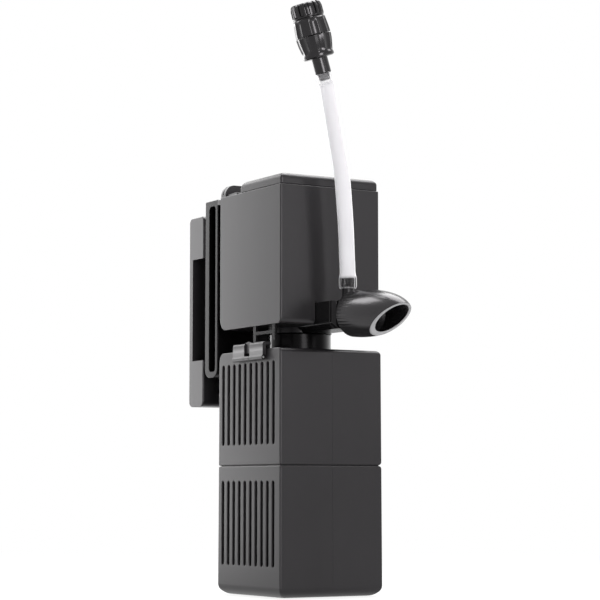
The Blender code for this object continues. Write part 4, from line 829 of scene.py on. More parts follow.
def shell_box(
    name: str, low: Sequence[float], high: Sequence[float], corner: float, foot: Edges, top: Edges
) -> bpy.types.Object:
    """A box skinned from level rings, each a rounded rectangle that stands in as its edges' roundings say.

    Args:
        name: The object's name.
        low: The lowest corner, in millimetres.
        high: The highest corner.
        corner: The radius of the upright edges.
        foot: The edges at the bottom.
        top: The edges at the top.

    Returns:
        The object.
    """
    height = high[2] - low[2]
    levels = np.unique(np.round(np.concatenate([foot.heights(), height - top.heights()]), 5))
    insets = np.stack(
        [
            rounded_inset(levels, foot.reach(side)) + rounded_inset(height - levels, top.reach(side))
            for side in BOX_SIDES
        ],
        axis=-1,
    )
    rings = []
    for level, (left, front, rear, right) in zip(levels, insets):
        near, far = (low[0] + left, low[1] + front), (high[0] - right, high[1] - rear)
        rings.append(across("Z", rounded_rectangle(near, far, [corner] * 4), low[2] + level))
    return skin(name, np.array(rings))


def dress(obj: bpy.types.Object, finish: Finish, body: str, slot: str, *nodes: str) -> bpy.types.Object:
    """Gives a piece its finish, hangs it on its body and hides the nodes that it stands for.

    Args:
        obj: The piece.
        finish: Its finish.
        body: The body it rides on.
        slot: The record's material slot; not used.
        nodes: The nodes that it replaces.

    Returns:
        The piece.
    """
    if not obj.data.materials:
        obj.data.materials.append(material_of(finish))
    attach(obj, body)
    if nodes:
        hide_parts(*nodes)
    log.info("%s rides on %s with %d faces", obj.name, body, len(obj.data.polygons))
    return obj


def frame_slot(node: str) -> str:
    """The record's material slot of a node."""
    return next(part["material_slot"] for part in frame["record"]["subparts"] if part["node"] == node)


# ------------------------------------------------------------------ media modules


@dataclass
class MediaModules:
    """The two slotted media modules, their foam and the clip at their left."""

    half_width: float = 34.2
    half_depth: float = 36.2
    wall: float = 2.4
    base: float = 2.8
    seam: float = 75.0
    top: float = 142.0
    base_fillet: float = 6.0
    corner: float = 1.0
    flare: tuple[float, float] = (0.3, 0.5)
    seam_edge: Edges = Edges(0.8, 0.8, 0.8, 2.0)
    top_edge: Edges = Edges(0.7, 2.6, 5.2, 2.6)
    lip: float = 3.3
    lip_root: float = 8.0
    lap: float = 1.0
    slot_count: int = 10
    slot_pitch: float = 6.56
    slot_middle: float = 1.0
    slot_width: float = 2.9
    slot_edge: float = 0.4
    lower_slots: tuple[float, float] = (17.2, 66.3)
    upper_slots: tuple[float, float] = (87.0, 134.7)
    mould_line: float = 0.6
    neck_hole: float = 19.5
    neck_rim: float = 0.5
    pivot_out: float = 1.8
    pivot_drop: float = 4.9
    knuckle: float = 1.5
    pin_bore: float = 0.85
    lug_span: tuple[float, float] = (-4.7, 0.9)
    leaf: float = 2.2
    web: float = 1.1
    clip_rise: float = 4.0
    rear_leaf: tuple[float, float] = (1.2, 14.6)
    front_leaf: tuple[float, float] = (-20.4, -5.0)
    foam_gap: float = 0.5
    foam_corner: float = 2.0
    foam_edge: float = 1.5
    foam_dimple: float = 0.3
    foam_channel: float = 9.0

    def pivot(self) -> tuple[float, float]:
        """The clip's pin, as its distance out and its height."""
        return self.half_width + self.pivot_out, self.top - self.pivot_drop

    def slot_cutters(self, side: Side, low: float, high: float) -> bpy.types.Object:
        """Cutters for a wall's slots, flared at its outer face so that each slot has a rounded edge.

        The flare at a depth d below the face is e - sqrt(e^2 - (e - d)^2), with e the edge radius.
        """
        edge, reach, steps = self.slot_edge, self.slot_width / 2, 8
        bend = np.linspace(0, np.pi / 2, 6)
        depth = np.concatenate([[-0.6], edge * (1 - np.cos(bend)), [self.wall + 1.5]])
        radius = (reach + rounded_inset(np.maximum(depth, 0), edge))[:, None]
        half = np.linspace(0, np.pi, steps + 1)
        angle = np.concatenate([half, half + np.pi])
        middle = np.repeat([high - reach, low + reach], steps + 1)
        first = self.slot_middle - self.slot_pitch * (self.slot_count - 1) / 2
        cutters = []
        for i in range(self.slot_count):
            ring_y = first + i * self.slot_pitch + radius * np.cos(angle)
            ring_z = middle + radius * np.sin(angle)
            ring_x = np.broadcast_to(side.value * (self.half_width - depth)[:, None], ring_y.shape)
            cutters.append(skin(f"slot_{i}", np.stack([ring_x, ring_y, ring_z], axis=-1)))
        return merged("slots", cutters)

    def outer(self, name: str, low: float, high: float, foot: Edges, top: Edges) -> bpy.types.Object:
        """The outside of a module."""
        x, y = self.half_width, self.half_depth
        return shell_box(name, (-x, -y, low), (x, y, high), self.corner, foot, top)

    def inner(self, name: str, low: float, high: float, inset: float = 0.0) -> bpy.types.Object:
        """A box inside the walls, or inset from them."""
        x, y = self.half_width - self.wall - inset, self.half_depth - self.wall - inset
        return block(name, (-x, -y, low), (x, y, high))

    def flared(self, body: bpy.types.Object) -> bpy.types.Object:
        """Widens a module towards the floor.

        A point's move is the flare times its share of the way down from the top, and times a weight that
        rises from 0 at the wall's inside to 1 a millimetre inside its outer face.
        """
        points = np.empty(len(body.data.vertices) * 3)
        body.data.vertices.foreach_get("co", points)
        points = points.reshape(-1, 3)
        share = 1 - points[:, 2] / (self.top * MM)
        for column, (half, flare) in enumerate(zip((self.half_width, self.half_depth), self.flare)):
            out = np.abs(points[:, column]) / MM - (half - self.wall)
            weight = np.clip(out / (self.wall - 1.0), 0, 1)
            points[:, column] += np.sign(points[:, column]) * flare * MM * share * weight
        body.data.vertices.foreach_set("co", points.ravel())
        body.data.update()
        return body

    def witness_line(self, body: bpy.types.Object, low: float, high: float) -> None:
        """Adds the fine upright line that the mould's parting leaves on a module's front."""
        half, proud, root = 0.12, 0.07, 0.5
        near = (self.mould_line - half, -self.half_depth - proud, low)
        far = (self.mould_line + half, -self.half_depth + root, high)
        joined(body, Cut.ONTO, block("witness_line", near, far))

    def lower(self) -> bpy.types.Object:
        """The lower module with its rounded base, its slots and the half-lap lip at its top."""
        foot = Edges(self.base_fillet, self.base_fillet, self.base_fillet)
        body = self.outer("lower_tray_shell", 0, self.seam, foot, self.seam_edge)
        self.witness_line(body, self.base_fillet, self.seam - 1.0)
        root = self.seam - self.lip_root
        joined(body, Cut.ONTO, self.inner("lip", root, self.seam + self.lip, -self.lap))
        joined(body, Cut.AWAY, self.inner("bowl", self.base, self.seam + self.lip + 5))
        for side in Side:
            joined(body, Cut.AWAY, self.slot_cutters(side, *self.lower_slots))
        return shaded(self.flared(body))

    def lug(self, side: Side) -> bpy.types.Object:
        """The knuckle that carries a clip's pin."""
        out, z = self.pivot()
        inner, x = side.value * (self.half_width - 1), side.value * out
        start, end = self.lug_span
        near, far = sorted((inner, x))
        foot = block("lug_foot", (near, start, z - self.knuckle), (far, end, z + self.knuckle))
        return joined(foot, Cut.ONTO, rod("lug_round", "Y", (x, z), self.knuckle, start, end, 32))

    def upper(self) -> bpy.types.Object:
        """The upper module: rounded shoulders, a deck with the neck's hole, and the clip's lug."""
        foot = self.seam + GAP
        rise = foot + self.lip
        body = self.outer("upper_tray_shell", foot, self.top, self.seam_edge, self.top_edge)
        self.witness_line(body, foot + 1.0, self.top - 3.0)
        joined(
            body,
            Cut.AWAY,
            self.inner("bowl", rise + 1.7, self.top - self.wall),
            self.inner("ledge", rise - 1, rise + 2.7, 1.4),
            self.inner("rebate", foot - 1, rise, -self.lap - GAP),
        )
        under, over, hole, rim = self.top - 12, self.top + 0.2, self.neck_hole, self.neck_rim
        profile = [(0, under), (hole, under), (hole, self.top - rim), (hole + rim, over), (0, over)]
        joined(body, Cut.AWAY, turned("neck_hole", profile, 96))
        for side in Side:
            joined(body, Cut.AWAY, self.slot_cutters(side, *self.upper_slots))
        joined(body, Cut.ONTO, self.lug(Side.LEFT))
        out, z = self.pivot()
        joined(body, Cut.AWAY, rod("pin_hole", "Y", (-out, z), self.pin_bore, -20, 20, 24))
        return shaded(self.flared(body))

    def foam(self, name: str, low: float, high: float, seed: int) -> bpy.types.Object:
        """A foam block: a rounded box whose faces are dimpled by smooth random waves.

        The dimple at a point is the product of sines of its coordinates, at most 0.3 mm deep, taken inwards.
        """
        x, y = self.half_width - self.wall - self.foam_gap, self.half_depth - self.wall - self.foam_gap
        outline = rounded_rectangle((-x, -y), (x, y), [self.foam_corner] * 4)
        sides = np.concatenate([outline, outline[:1]])
        length = np.concatenate([[0], np.cumsum(np.linalg.norm(np.diff(sides, axis=0), axis=1))])
        even = np.linspace(0, length[-1], 161)[:-1]
        ring = np.stack([np.interp(even, length, sides[:, i]) for i in range(2)], axis=-1)
        phase = np.random.default_rng(seed).uniform(0, 2 * np.pi, 4)
        z = np.linspace(low, high, 40)
        wave = np.sin(even[None, :] * 0.9 + phase[0]) * np.sin(z[:, None] * 1.1 + phase[1])
        wave = 0.5 + 0.25 * (wave + np.sin(even[None, :] * 2.3 + z[:, None] * 1.7 + phase[2]))
        edge = rounded_inset(np.minimum(z - low, high - z), self.foam_edge)[:, None]
        shrink = 1 - (self.foam_dimple * wave + edge) / np.linalg.norm(ring, axis=1)[None, :]
        level = np.broadcast_to(z[:, None], wave.shape)
        body = skin(name, np.stack([ring[None, :, 0] * shrink, ring[None, :, 1] * shrink, level], axis=-1))
        channel = rod("channel", "Z", (0, 0), self.foam_channel, low - 1, high + 1, 48)
        return shaded(joined(body, Cut.AWAY, channel), math.radians(60))

    def clip(self) -> bpy.types.Object:
        """The left clip: two leaves joined by an arched web, with the arm that hooks the head's catch."""
        x, z = self.pivot()
        inner, top = self.half_width + GAP, self.top + self.clip_rise
        outline = rounded_rectangle((inner, z), (inner + self.leaf, top), [0, 0, 1.4, 0.3])
        rear = softened(prism("rear_leaf", "Y", outline, *self.rear_leaf), 0.4)
        front = softened(prism("front_leaf", "Y", outline, *self.front_leaf), 0.5)
        bend = np.linspace(0, np.pi, 13)
        start, end = self.front_leaf[1] - 1.0, self.rear_leaf[0] + 1.0
        middle, half = (start + end) / 2, (end - start) / 2
        arch = [(start, z + 3.0), (end, z + 3.0)]
        arch += list(zip(middle + half * np.cos(bend), top - 0.6 + 1.4 * np.sin(bend)))
        web = softened(prism("web", "X", arch, inner, inner + self.web), 0.15, 2, math.radians(50))
        near = (self.half_width - 3.1, self.front_leaf[0] + 0.02, top - 1.9)
        arm = block("arm", near, (inner + 1, -8.0, top + 0.2), 0.3)
        leaves = (self.rear_leaf, self.front_leaf)
        knuckles = [rod("knuckle", "Y", (x, z), self.knuckle, a, b, 32) for a, b in leaves]
        joined(rear, Cut.ONTO, front, web, arm, *knuckles)
        joined(rear, Cut.AWAY, rod("pin_hole", "Y", (x, z), self.pin_bore, -30, 30, 24))
        rear.name = "clip_left"
        rear.data.transform(Matrix.Scale(-1, 4, (1, 0, 0)))
        rear.data.flip_normals()
        return shaded(rear)

    def build(self) -> None:
        """Makes the modules, their foam and the clip, and dresses them."""
        dress(self.lower(), SHELL, "lower_tray", "black_shell", "lower_module")
        dress(self.upper(), SHELL, "filter_body", "black_shell", "upper_module")
        low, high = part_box("lower_sponge"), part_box("upper_sponge")
        for name, body, node, box, seed in (
            ("lower_foam", "lower_tray", "lower_sponge", low, 4),
            ("upper_foam", "filter_body", "upper_sponge", high, 9),
        ):
            foam = self.foam(name, box[0].z / MM, box[1].z / MM, seed)
            dress(foam, FOAM, body, frame_slot(node), node)
        dress(self.clip(), SHELL, "clip_left", "black_shell", "latch_left")


# ------------------------------------------------------------------ pump head


@dataclass
class PumpHead:
    """The boxed head: its shell, lid, motor cover and cable gland, and the neck under it."""

    modules: MediaModules
    half_width: float = 33.4
    half_depth: float = 36.2
    shift: float = -0.5
    foot: float = 155.7
    top: float = 236.0
    wall: float = 2.2
    foot_edge: Edges = Edges(0.8, 3.5, 7.0)
    mouth_edge: Edges = Edges(0.45, 0.45, 0.45)
    catch_wall: float = 1.6
    catch_span: tuple[float, float] = (-28.0, -2.9)
    catch_window: tuple[float, float] = (-24.8, -6.1)
    hook: float = 3.4
    lid_height: float = 6.3
    lid_rear: float = 12.5
    lid_inset: float = 0.6
    lid_edge: Edges = Edges(3.0, 3.0, 5.0)
    lid_wall: float = 2.0
    skirt: float = 4.8
    cover_drop: float = 10.0
    cover_step: float = 7.0
    gland_left: float = -30.6
    gland_width: float = 18.6
    gland_height: float = 8.0
    gland_depth: float = 5.8
    lead_radius: float = 3.0
    outlet_x: float = 0.8
    duct_width: float = 23.0
    duct_foot: float = 152.3
    duct_top: float = 168.3
    duct_front: float = -51.4
    duct_rear: float = -9.55
    duct_bevel: float = 3.0
    duct_bore: tuple[float, float] = (8.5, 5.2)
    chamber_radius: float = 19.1
    chamber_wall: float = 3.5
    neck_radius: float = 18.8
    plug: float = 4.4
    seal_drop: float = 1.2
    seal_depth: float = 1.0
    seal_half: float = 0.9
    inlet_plate: float = 2.4
    boss_radius: float = 4.5
    boss_drop: float = 6.0
    bush_radius: float = 2.4
    bush_drop: float = 4.6
    spoke: float = 3.0
    window_reach: tuple[float, float] = (6.5, 15.0)

    def catch(self) -> bpy.types.Object:
        """The open frame under the left side wall, with the foot bar that the clip hooks over."""
        x0 = -self.half_width + 0.4
        x1 = x0 + self.catch_wall
        foot, bar = self.modules.top + 0.4, self.foot - 5.1
        (start, end), (front, rear) = self.catch_span, self.catch_window
        body = block("catch", (x0, start, foot), (x1, end, self.foot + 1.1), 0.25)
        holes = [
            block("window", (x0 - 1, front, foot + 1.4), (x1 + 1, rear, bar), 0.2),
            block("gap", (x0 - 1, front, bar + 1.8), (x1 + 1, rear, self.foot + 3), 0.2),
            block("below", (x0 - 1, start - 2, foot - 1.0), (x1 + 1, -19.0, bar - 4.0)),
        ]
        return joined(body, Cut.AWAY, *holes)

    def shell(self) -> bpy.types.Object:
        """The head's open-topped box, with its rounded foot, the rail's hooks and the catch."""
        x, y, wall, foot = self.half_width, self.half_depth, self.wall, self.foot
        body = shell_box("head_shell", (-x, -y, foot), (x, y, self.top), 1.0, self.foot_edge, self.mouth_edge)
        near, far = (-x + wall, -y + wall, foot + wall), (x - wall, y - wall, self.top + 5)
        joined(body, Cut.AWAY, shell_box("inside", near, far, 0.5, Edges(0.3, 1.5, 4.8), Edges()))
        for side in Side:
            x0, x1 = sorted((side.value * (x - self.hook), side.value * x))
            hook = block("rail_hook", (x0, y - 1, self.top - 4.0), (x1, y + self.hook, self.top - 1.0), 0.4)
            joined(body, Cut.ONTO, hook)
        self.shifted(body)
        joined(body, Cut.ONTO, self.catch())
        hole = rod("chamber_hole", "Z", (0, 0), self.chamber_radius + GAP, foot - 1, foot + 4, 96)
        half = self.duct_width / 2 + GAP
        near = (self.outlet_x - half, -y - 1, foot - 1)
        far = (self.outlet_x + half, -self.chamber_radius / 2, self.duct_top + GAP)
        joined(body, Cut.AWAY, hole, block("duct_notch", near, far))
        shaded(body)
        self.paint_catch_shade(body)
        return body

    def paint_catch_shade(self, body: bpy.types.Object) -> None:
        """Gives the faces below the head's foot, which are the catch's, the rail's deep black as painted
        shade under the head.
        """
        for finish in (SHELL, RAIL_AND_CATCH_SHADE):
            body.data.materials.append(material_of(finish))
        for polygon in body.data.polygons:
            polygon.material_index = int(polygon.center.z < (self.foot - GAP) * MM)

    def shifted(self, body: bpy.types.Object) -> bpy.types.Object:
        """Moves a shape with the head, which stands a little left of the modules' middle."""
        body.data.transform(Matrix.Translation((self.shift * MM, 0, 0)))
        return body

    def lid(self) -> bpy.types.Object:
        """The lid: a shallow cap with rounded edges and a skirt inside the shell."""
        x, front = self.half_width - self.lid_inset, self.half_depth - self.lid_inset
        foot, rear, top = self.top + GAP, self.lid_rear, self.top + GAP + self.lid_height
        low_edge = Edges(0.25, 0.25, 0.25)
        body = shell_box("lid_cap", (-x, -front, foot), (x, rear, top), 1.2, low_edge, self.lid_edge)
        x, y = self.half_width - self.wall - GAP, self.half_depth - self.wall - GAP
        joined(body, Cut.ONTO, block("skirt", (-x, -y, foot - self.skirt), (x, rear - 0.2, foot + 1), 0.3))
        x, y = x - self.lid_wall, y - self.lid_wall
        joined(body, Cut.AWAY, block("hollow", (-x, -y, foot - 6), (x, rear - 6, top - self.lid_wall), 0.6))
        return shaded(self.shifted(body))

    def motor_cover(self) -> bpy.types.Object:
        """The potted motor's cover: low under the lid, and flush with the walls behind it."""
        x, y = self.half_width - self.wall - GAP, self.half_depth - self.wall - GAP
        low, step, deck = self.top - self.cover_drop, self.top - self.cover_step, self.lid_rear + 0.8
        outline = [(-y, low), (y, low), (y, self.top), (deck, self.top), (deck, step), (-y, step)]
        return shaded(self.shifted(softened(prism("motor_cover", "X", outline, -x, x), 0.4)))

    def gland(self) -> bpy.types.Object:
        """The arched hood over the lead's entry, with a groove round it and a tongue in front."""
        left, foot, front = self.gland_left, self.top + GAP, self.half_depth - 1.0
        right, crown, back = left + self.gland_width, foot + self.gland_height, front + self.gland_depth
        outline = rounded_rectangle((left, foot), (right, crown), [0.2, 0.2, 6.3, 6.3], 12)
        hood = softened(prism("gland_hood", "Y", outline, front, back), 0.45)
        tongue = block("tongue", (left + 1, back - 17.8, foot), (right - 1, front + 1, foot + 2.0), 0.4)
        joined(hood, Cut.ONTO, tongue)
        inner = rounded_rectangle((left + 1, foot - 8), (right - 1, crown - 1), [0.2, 0.2, 5.6, 5.6], 12)
        start = front + 2.61
        ring = block("groove", (left - 3, start, foot + 2.0), (right + 3, start + 1.0, crown + 3))
        joined(ring, Cut.AWAY, prism("core", "Y", inner, front - 4, back + 4))
        middle = ((left + right) / 2, foot + 4.0)
        lead = rod("lead_bore", "Y", middle, self.lead_radius, back - 4.5, back + 4)
        joined(hood, Cut.AWAY, ring, lead)
        return shaded(hood)

    def window(self, turn: float, low: float, high: float) -> bpy.types.Object:
        """A cutter for one of four windows between spokes.

        At radius r, a spoke of width w takes the angle asin(w / 2r) from the window on each side.
        """
        rings = []
        for radius, way in zip(self.window_reach, (1, -1)):
            trim = math.asin(self.spoke / 2 / radius)
            angle = turn + np.linspace(trim, math.pi / 2 - trim, 12)[::way]
            rings.append(radius * np.stack([np.cos(angle), np.sin(angle)], axis=-1))
        return softened(prism("window", "Z", np.concatenate(rings), low, high), 0.3, 2, math.radians(50))

    def neck(self) -> bpy.types.Object:
        """The round neck that plugs into the upper module, with its seal groove, spoked inlet and boss."""
        socket, top = self.modules.top, self.duct_foot - GAP
        foot, seal, plate = socket - self.plug, socket - self.seal_drop, top - self.inlet_plate
        low, high = seal - self.seal_half, seal + self.seal_half
        outer, boss, boss_foot = self.neck_radius, self.boss_radius, top - self.boss_drop
        inner, groove = outer - self.wall, outer - self.seal_depth
        corners = [
            (0, boss_foot),
            (boss, boss_foot),
            (boss, plate),
            (inner, plate),
            (inner, foot),
            (outer, foot),
            (outer, low),
            (groove, low),
            (groove, high),
            (outer, high),
            (outer, top),
            (0, top),
        ]
        radii = [0, 0.3, 0.5, 0.5, 0.4, 0.4, 0.15, 0.15, 0.15, 0.15, 0.4, 0]
        body = turned("neck_ring", rounded_profile(corners, radii), 128)
        pocket = rod("bush_pocket", "Z", (0, 0), self.bush_radius, top - self.bush_drop, top + 1, 32)
        joined(body, Cut.AWAY, pocket)
        for i in range(4):
            joined(body, Cut.AWAY, self.window(i * math.pi / 2, plate - 1, top + 1))
        return shaded(body)

    def duct_outline(self) -> Points:
        """The duct's section: a rectangle with its lower edges bevelled."""
        half, bevel = self.duct_width / 2, self.duct_bevel
        side = [(half - bevel, self.duct_foot), (half, self.duct_foot + bevel), (half, self.duct_top)]
        right = [(self.outlet_x + u, v) for u, v in side]
        left = [(self.outlet_x - u, v) for u, v in side[::-1]]
        return np.array(right + left)

    def chamber(self) -> bpy.types.Object:
        """The impeller's chamber and the duct that leaves it forwards."""
        foot, top = self.duct_foot, self.duct_top
        body = softened(rod("chamber_and_duct", "Z", (0, 0), self.chamber_radius, foot, top, 128), 0.3)
        duct = prism("duct", "Y", self.duct_outline(), self.duct_front, self.duct_rear)
        joined(body, Cut.ONTO, softened(duct, 0.45))
        volute = self.chamber_radius - self.chamber_wall
        joined(body, Cut.AWAY, rod("volute", "Z", (0, 0), volute, foot - 1, top + 1, 96))
        x, z = self.outlet_x, (foot + top) / 2
        width, height = self.duct_bore
        near, far = (x - width, self.duct_front - 1.6, z - height), (x + width, -7.8, z + height)
        joined(body, Cut.AWAY, block("bore", near, far))
        return shaded(body)

    def build(self) -> None:
        """Makes the head's pieces and dresses them."""
        dress(self.shell(), SHELL, "filter_body", "black_shell", "head_housing")
        dress(self.lid(), SHELL, "lid", "black_shell", "head_lid")
        dress(self.motor_cover(), TRIM, "filter_body", "black_trim", "core_cover")
        dress(self.gland(), SHELL, "filter_body", "black_trim", "cable_gland")
        # The neck's finish carries painted shade from the head above.
        dress(self.neck(), NECK_PAINTED_SHADE, "filter_body", "black_trim", "intake_neck")
        dress(self.chamber(), TRIM, "filter_body", "black_trim", "pump_chamber")


# ------------------------------------------------------------------ outlet and nozzle


@dataclass
class Outlet:
    """The duct's end piece with its ball and nipple, and the egg-shaped nozzle on the ball."""

    head: PumpHead
    ball: tuple[float, float, float] = (0.8, -64.5, 160.3)
    ball_radius: float = 8.5
    front: float = -55.9
    nipple: tuple[float, float] = (0.0, -54.0)
    collar_foot: float = 176.6
    collar_height: float = 4.8
    collar_radius: float = 4.0
    knurls: int = 28
    knurl_depth: float = 0.32
    spigot: tuple[float, float] = (2.1, 3.3)
    stem_radius: float = 5.6
    water_bore: float = 4.2
    air_bore: float = 1.2
    swivel: float = math.radians(8.0)
    droop: float = math.radians(1.5)
    egg_radius: float = 13.4
    egg_half_length: float = 36.8
    egg_centre: float = 5.3
    egg_rear: float = 5.0
    wall: float = 1.9
    mouth_slope: float = math.radians(56.0)
    mouth_distance: float = 16.5
    grooves: int = 44
    groove_depth: float = 0.16
    groove_length: float = 13.0
    rim_edge: float = 0.4
    bore_start: float = 9.6
    throat: tuple[float, float] = (8.5, 8.6)
    seat: tuple[float, float] = (10.7, 5.9)

    def place(self) -> Matrix:
        """The nozzle's axis at rest: Z points out of its mouth, from the ball's centre."""
        centre = Matrix.Translation(Vector(self.ball) * MM)
        tilt = Matrix.Rotation(math.pi / 2 + self.droop, 4, "X")
        return centre @ Matrix.Rotation(self.swivel, 4, "Z") @ tilt

    def upright(self) -> Matrix:
        """Where the nipple stands."""
        return Matrix.Translation((self.nipple[0] * MM, self.nipple[1] * MM, 0))

    def nipple_foot(self) -> bpy.types.Object:
        """The nipple below its collar: a thin root that widens to the collar's foot."""
        top, foot = self.head.duct_top, self.collar_foot + 1
        thin, thick = self.spigot
        root = [(0, top - 1), (thin, top - 1), (thin, top + 0.3)]
        corners = [*root, (thick, top + 2.4), (thick, foot), (0, foot)]
        profile = rounded_profile(corners, [0, 0, 0.3, 0.6, 0, 0])
        return turned("nipple", profile, 48, place=self.upright())

    def collar(self) -> bpy.types.Object:
        """The collar that the hose's end grips, knurled by a raised cosine."""
        foot, top, radius = self.collar_foot, self.collar_foot + self.collar_height, self.collar_radius

        def knurl(r: Points, h: Points, a: Points) -> Points:
            """The change of radius at each point of the collar's side."""
            return np.where(r > 3.0, -self.knurl_depth * (0.5 - 0.5 * np.cos(self.knurls * a)), 0.0)

        profile = rounded_profile([(0, foot), (radius, foot), (radius, top), (0, top)], [0, 0.35, 0.6, 0])
        return turned("collar", profile, self.knurls * 6, place=self.upright(), swell=knurl)

    def end_piece(self) -> bpy.types.Object:
        """The end piece: a bevelled block, the ball on its neck, and the nipple with its knurled collar."""
        head, half = self.head, self.head.duct_width / 2
        body = prism("outlet_end", "Y", head.duct_outline(), self.front, head.duct_front - GAP)
        for side in Side:
            inner, outer = (head.outlet_x + side.value * u for u in (half - 2.0, half + 1.0))
            wedge = [(inner, self.front - 0.01), (outer, self.front - 0.01), (outer, self.front + 2.99)]
            joined(body, Cut.AWAY, prism("chamfer", "Z", wedge, head.duct_foot - 1, head.duct_top + 1))
        softened(body, 0.45)
        x, y, z = self.ball
        arc = np.linspace(0, np.pi, 41)
        profile = list(zip(self.ball_radius * np.sin(arc), -self.ball_radius * np.cos(arc)))
        centre = Matrix.Translation(Vector(self.ball) * MM) @ Matrix.Rotation(math.pi / 2, 4, "X")
        ball = turned("ball", profile, 72, place=centre)
        stem = rod("ball_neck", "Y", (x, z), self.stem_radius, y, self.front + 1, 64)
        joined(body, Cut.ONTO, stem, ball, self.nipple_foot(), self.collar())
        water = rod("water", "Y", (x, z), self.water_bore, y - 20, head.duct_front + 0.7, 64)
        air_top = self.collar_foot + self.collar_height + 1
        joined(body, Cut.AWAY, water, rod("air", "Z", self.nipple, self.air_bore, z, air_top, 24))
        return shaded(body)

    def cut_angle(self, turn: Points, radius: float, length: float, distance: float) -> Points:
        """Where each meridian of an ellipsoid meets the slanted mouth.

        A meridian's point at parameter p is length * sin p along the axis and radius * cos p away from it.
        Its height over the mouth's plane is a sin p + b cos p - distance, with a and b the shares of the
        plane's normal along the axis and across it, so p is atan2(a, b) less or plus an arc cosine.

        Args:
            turn: The meridians' angles round the axis.
            radius: The ellipsoid's radius.
            length: Its half length.
            distance: The plane's distance from its centre.

        Returns:
            The parameter p for each meridian.
        """
        turn_back = self.place().to_3x3().inverted()
        normal = turn_back @ Vector((0, -math.cos(self.mouth_slope), -math.sin(self.mouth_slope)))
        along = length * normal.z
        beside = radius * (normal.x * np.cos(turn) + normal.y * np.sin(turn))
        lean, reach = np.arctan2(along, beside), np.hypot(along, beside)
        return lean - np.arccos(np.clip(distance / reach, -1, 1))

    def meridians(self, turn: Points, share: Points, inset: float, start: float, distance: float) -> Points:
        """Points of an ellipsoid from a place on its axis to its slanted mouth.

        Args:
            turn: The meridians' angles round the axis.
            share: How far along its meridian each row lies.
            inset: How far the ellipsoid lies inside the nozzle's outside.
            start: Where the meridians start, along the axis from the ball.
            distance: The mouth's distance from the ellipsoid's centre.

        Returns:
            The points as (row, meridian, xyz).
        """
        radius, length = self.egg_radius - inset, self.egg_half_length - inset
        first = math.asin((start - self.egg_centre) / length)
        last = self.cut_angle(turn, radius, length, distance)
        p = first + (last[None, :] - first) * share[:, None]
        r = radius * np.cos(p)
        return np.stack([r * np.cos(turn), r * np.sin(turn), self.egg_centre + length * np.sin(p)], axis=-1)

    def nozzle(self) -> bpy.types.Object:
        """The nozzle as one closed surface.

        Its rows run up the grooved outside, over the mouth's rounded rim, back down the bore, and round the
        pocket for the ball's seat. The grooves are rounded ridges in the radius that fade along the axis.
        """
        count = self.grooves * 10
        turn, share, end = np.arange(count) * 2 * np.pi / count, np.linspace(0, 1, 72), np.array([1.0])
        rear, rim_start = -self.egg_rear, self.mouth_distance - self.rim_edge
        outer = self.meridians(turn, share, 0.0, rear, rim_start)
        fade = np.clip(1 - (outer[..., 2] - rear) / self.groove_length, 0, 1) ** 0.6
        ridge = np.clip(0.5 + 0.9 * np.cos(self.grooves * turn), 0, 1)[None, :]
        outer[..., :2] *= (1 - self.groove_depth * fade * ridge / self.egg_radius)[..., None]
        inner = self.meridians(turn, share[::-1], self.wall, self.bore_start, rim_start)
        tip = self.meridians(turn, end, 0.0, 0, self.mouth_distance)[0]
        lip = self.meridians(turn, end, self.wall, 0, self.mouth_distance)[0]
        inward = (lip - tip) / np.linalg.norm(lip - tip, axis=1)[:, None] * self.rim_edge
        bend = np.sin(np.linspace(0, np.pi / 2, 5))[1:]
        rim = [tip + inward * b + (outer[-1] - tip) * (1 - b) for b in bend]
        rim += [lip - inward * b + (inner[0] - lip) * (1 - b) for b in bend[::-1]]
        circle = np.stack([np.cos(turn), np.sin(turn)], axis=-1)

        def level(radius: Points | float, z: float) -> Points:
            """A row square to the axis, with one radius or one for each meridian."""
            return np.concatenate([circle * np.reshape(radius, (-1, 1)), np.full((count, 1), z)], axis=1)

        (throat, throat_end), (seat, seat_end), bevel = self.throat, self.seat, 0.3
        back = [
            level(throat, throat_end),
            level(throat, seat_end),
            level(seat - bevel, seat_end),
            level(seat, seat_end - bevel),
            level(seat, rear + 0.4),
            level(seat + bevel, rear),
        ]
        rear_outer = np.linalg.norm(outer[0, :, :2], axis=1)
        back.append(level(rear_outer - 0.35, rear))
        outer[0] = level(rear_outer, rear + 0.3)
        rings = np.concatenate([outer, np.array(rim), inner, np.array(back)])
        egg = skin("nozzle_egg", rings, ring=True, place=self.place())
        # The rim's rows are marked cut, where the material paints its paler grey highlight.
        row = np.arange(len(rings))
        cut = (row >= len(outer)) & (row < len(outer) + len(rim))
        hold_values(egg, "cut", np.repeat(cut, count))
        return shaded(egg, math.radians(40))

    def build(self) -> None:
        """Makes the outlet's end and the nozzle, and dresses them."""
        dress(self.end_piece(), TRIM, "filter_body", "black_trim", "outlet_ball")
        dress(self.nozzle(), NOZZLE, "nozzle_shell", "black_shell", "nozzle")


# ------------------------------------------------------------------ air line


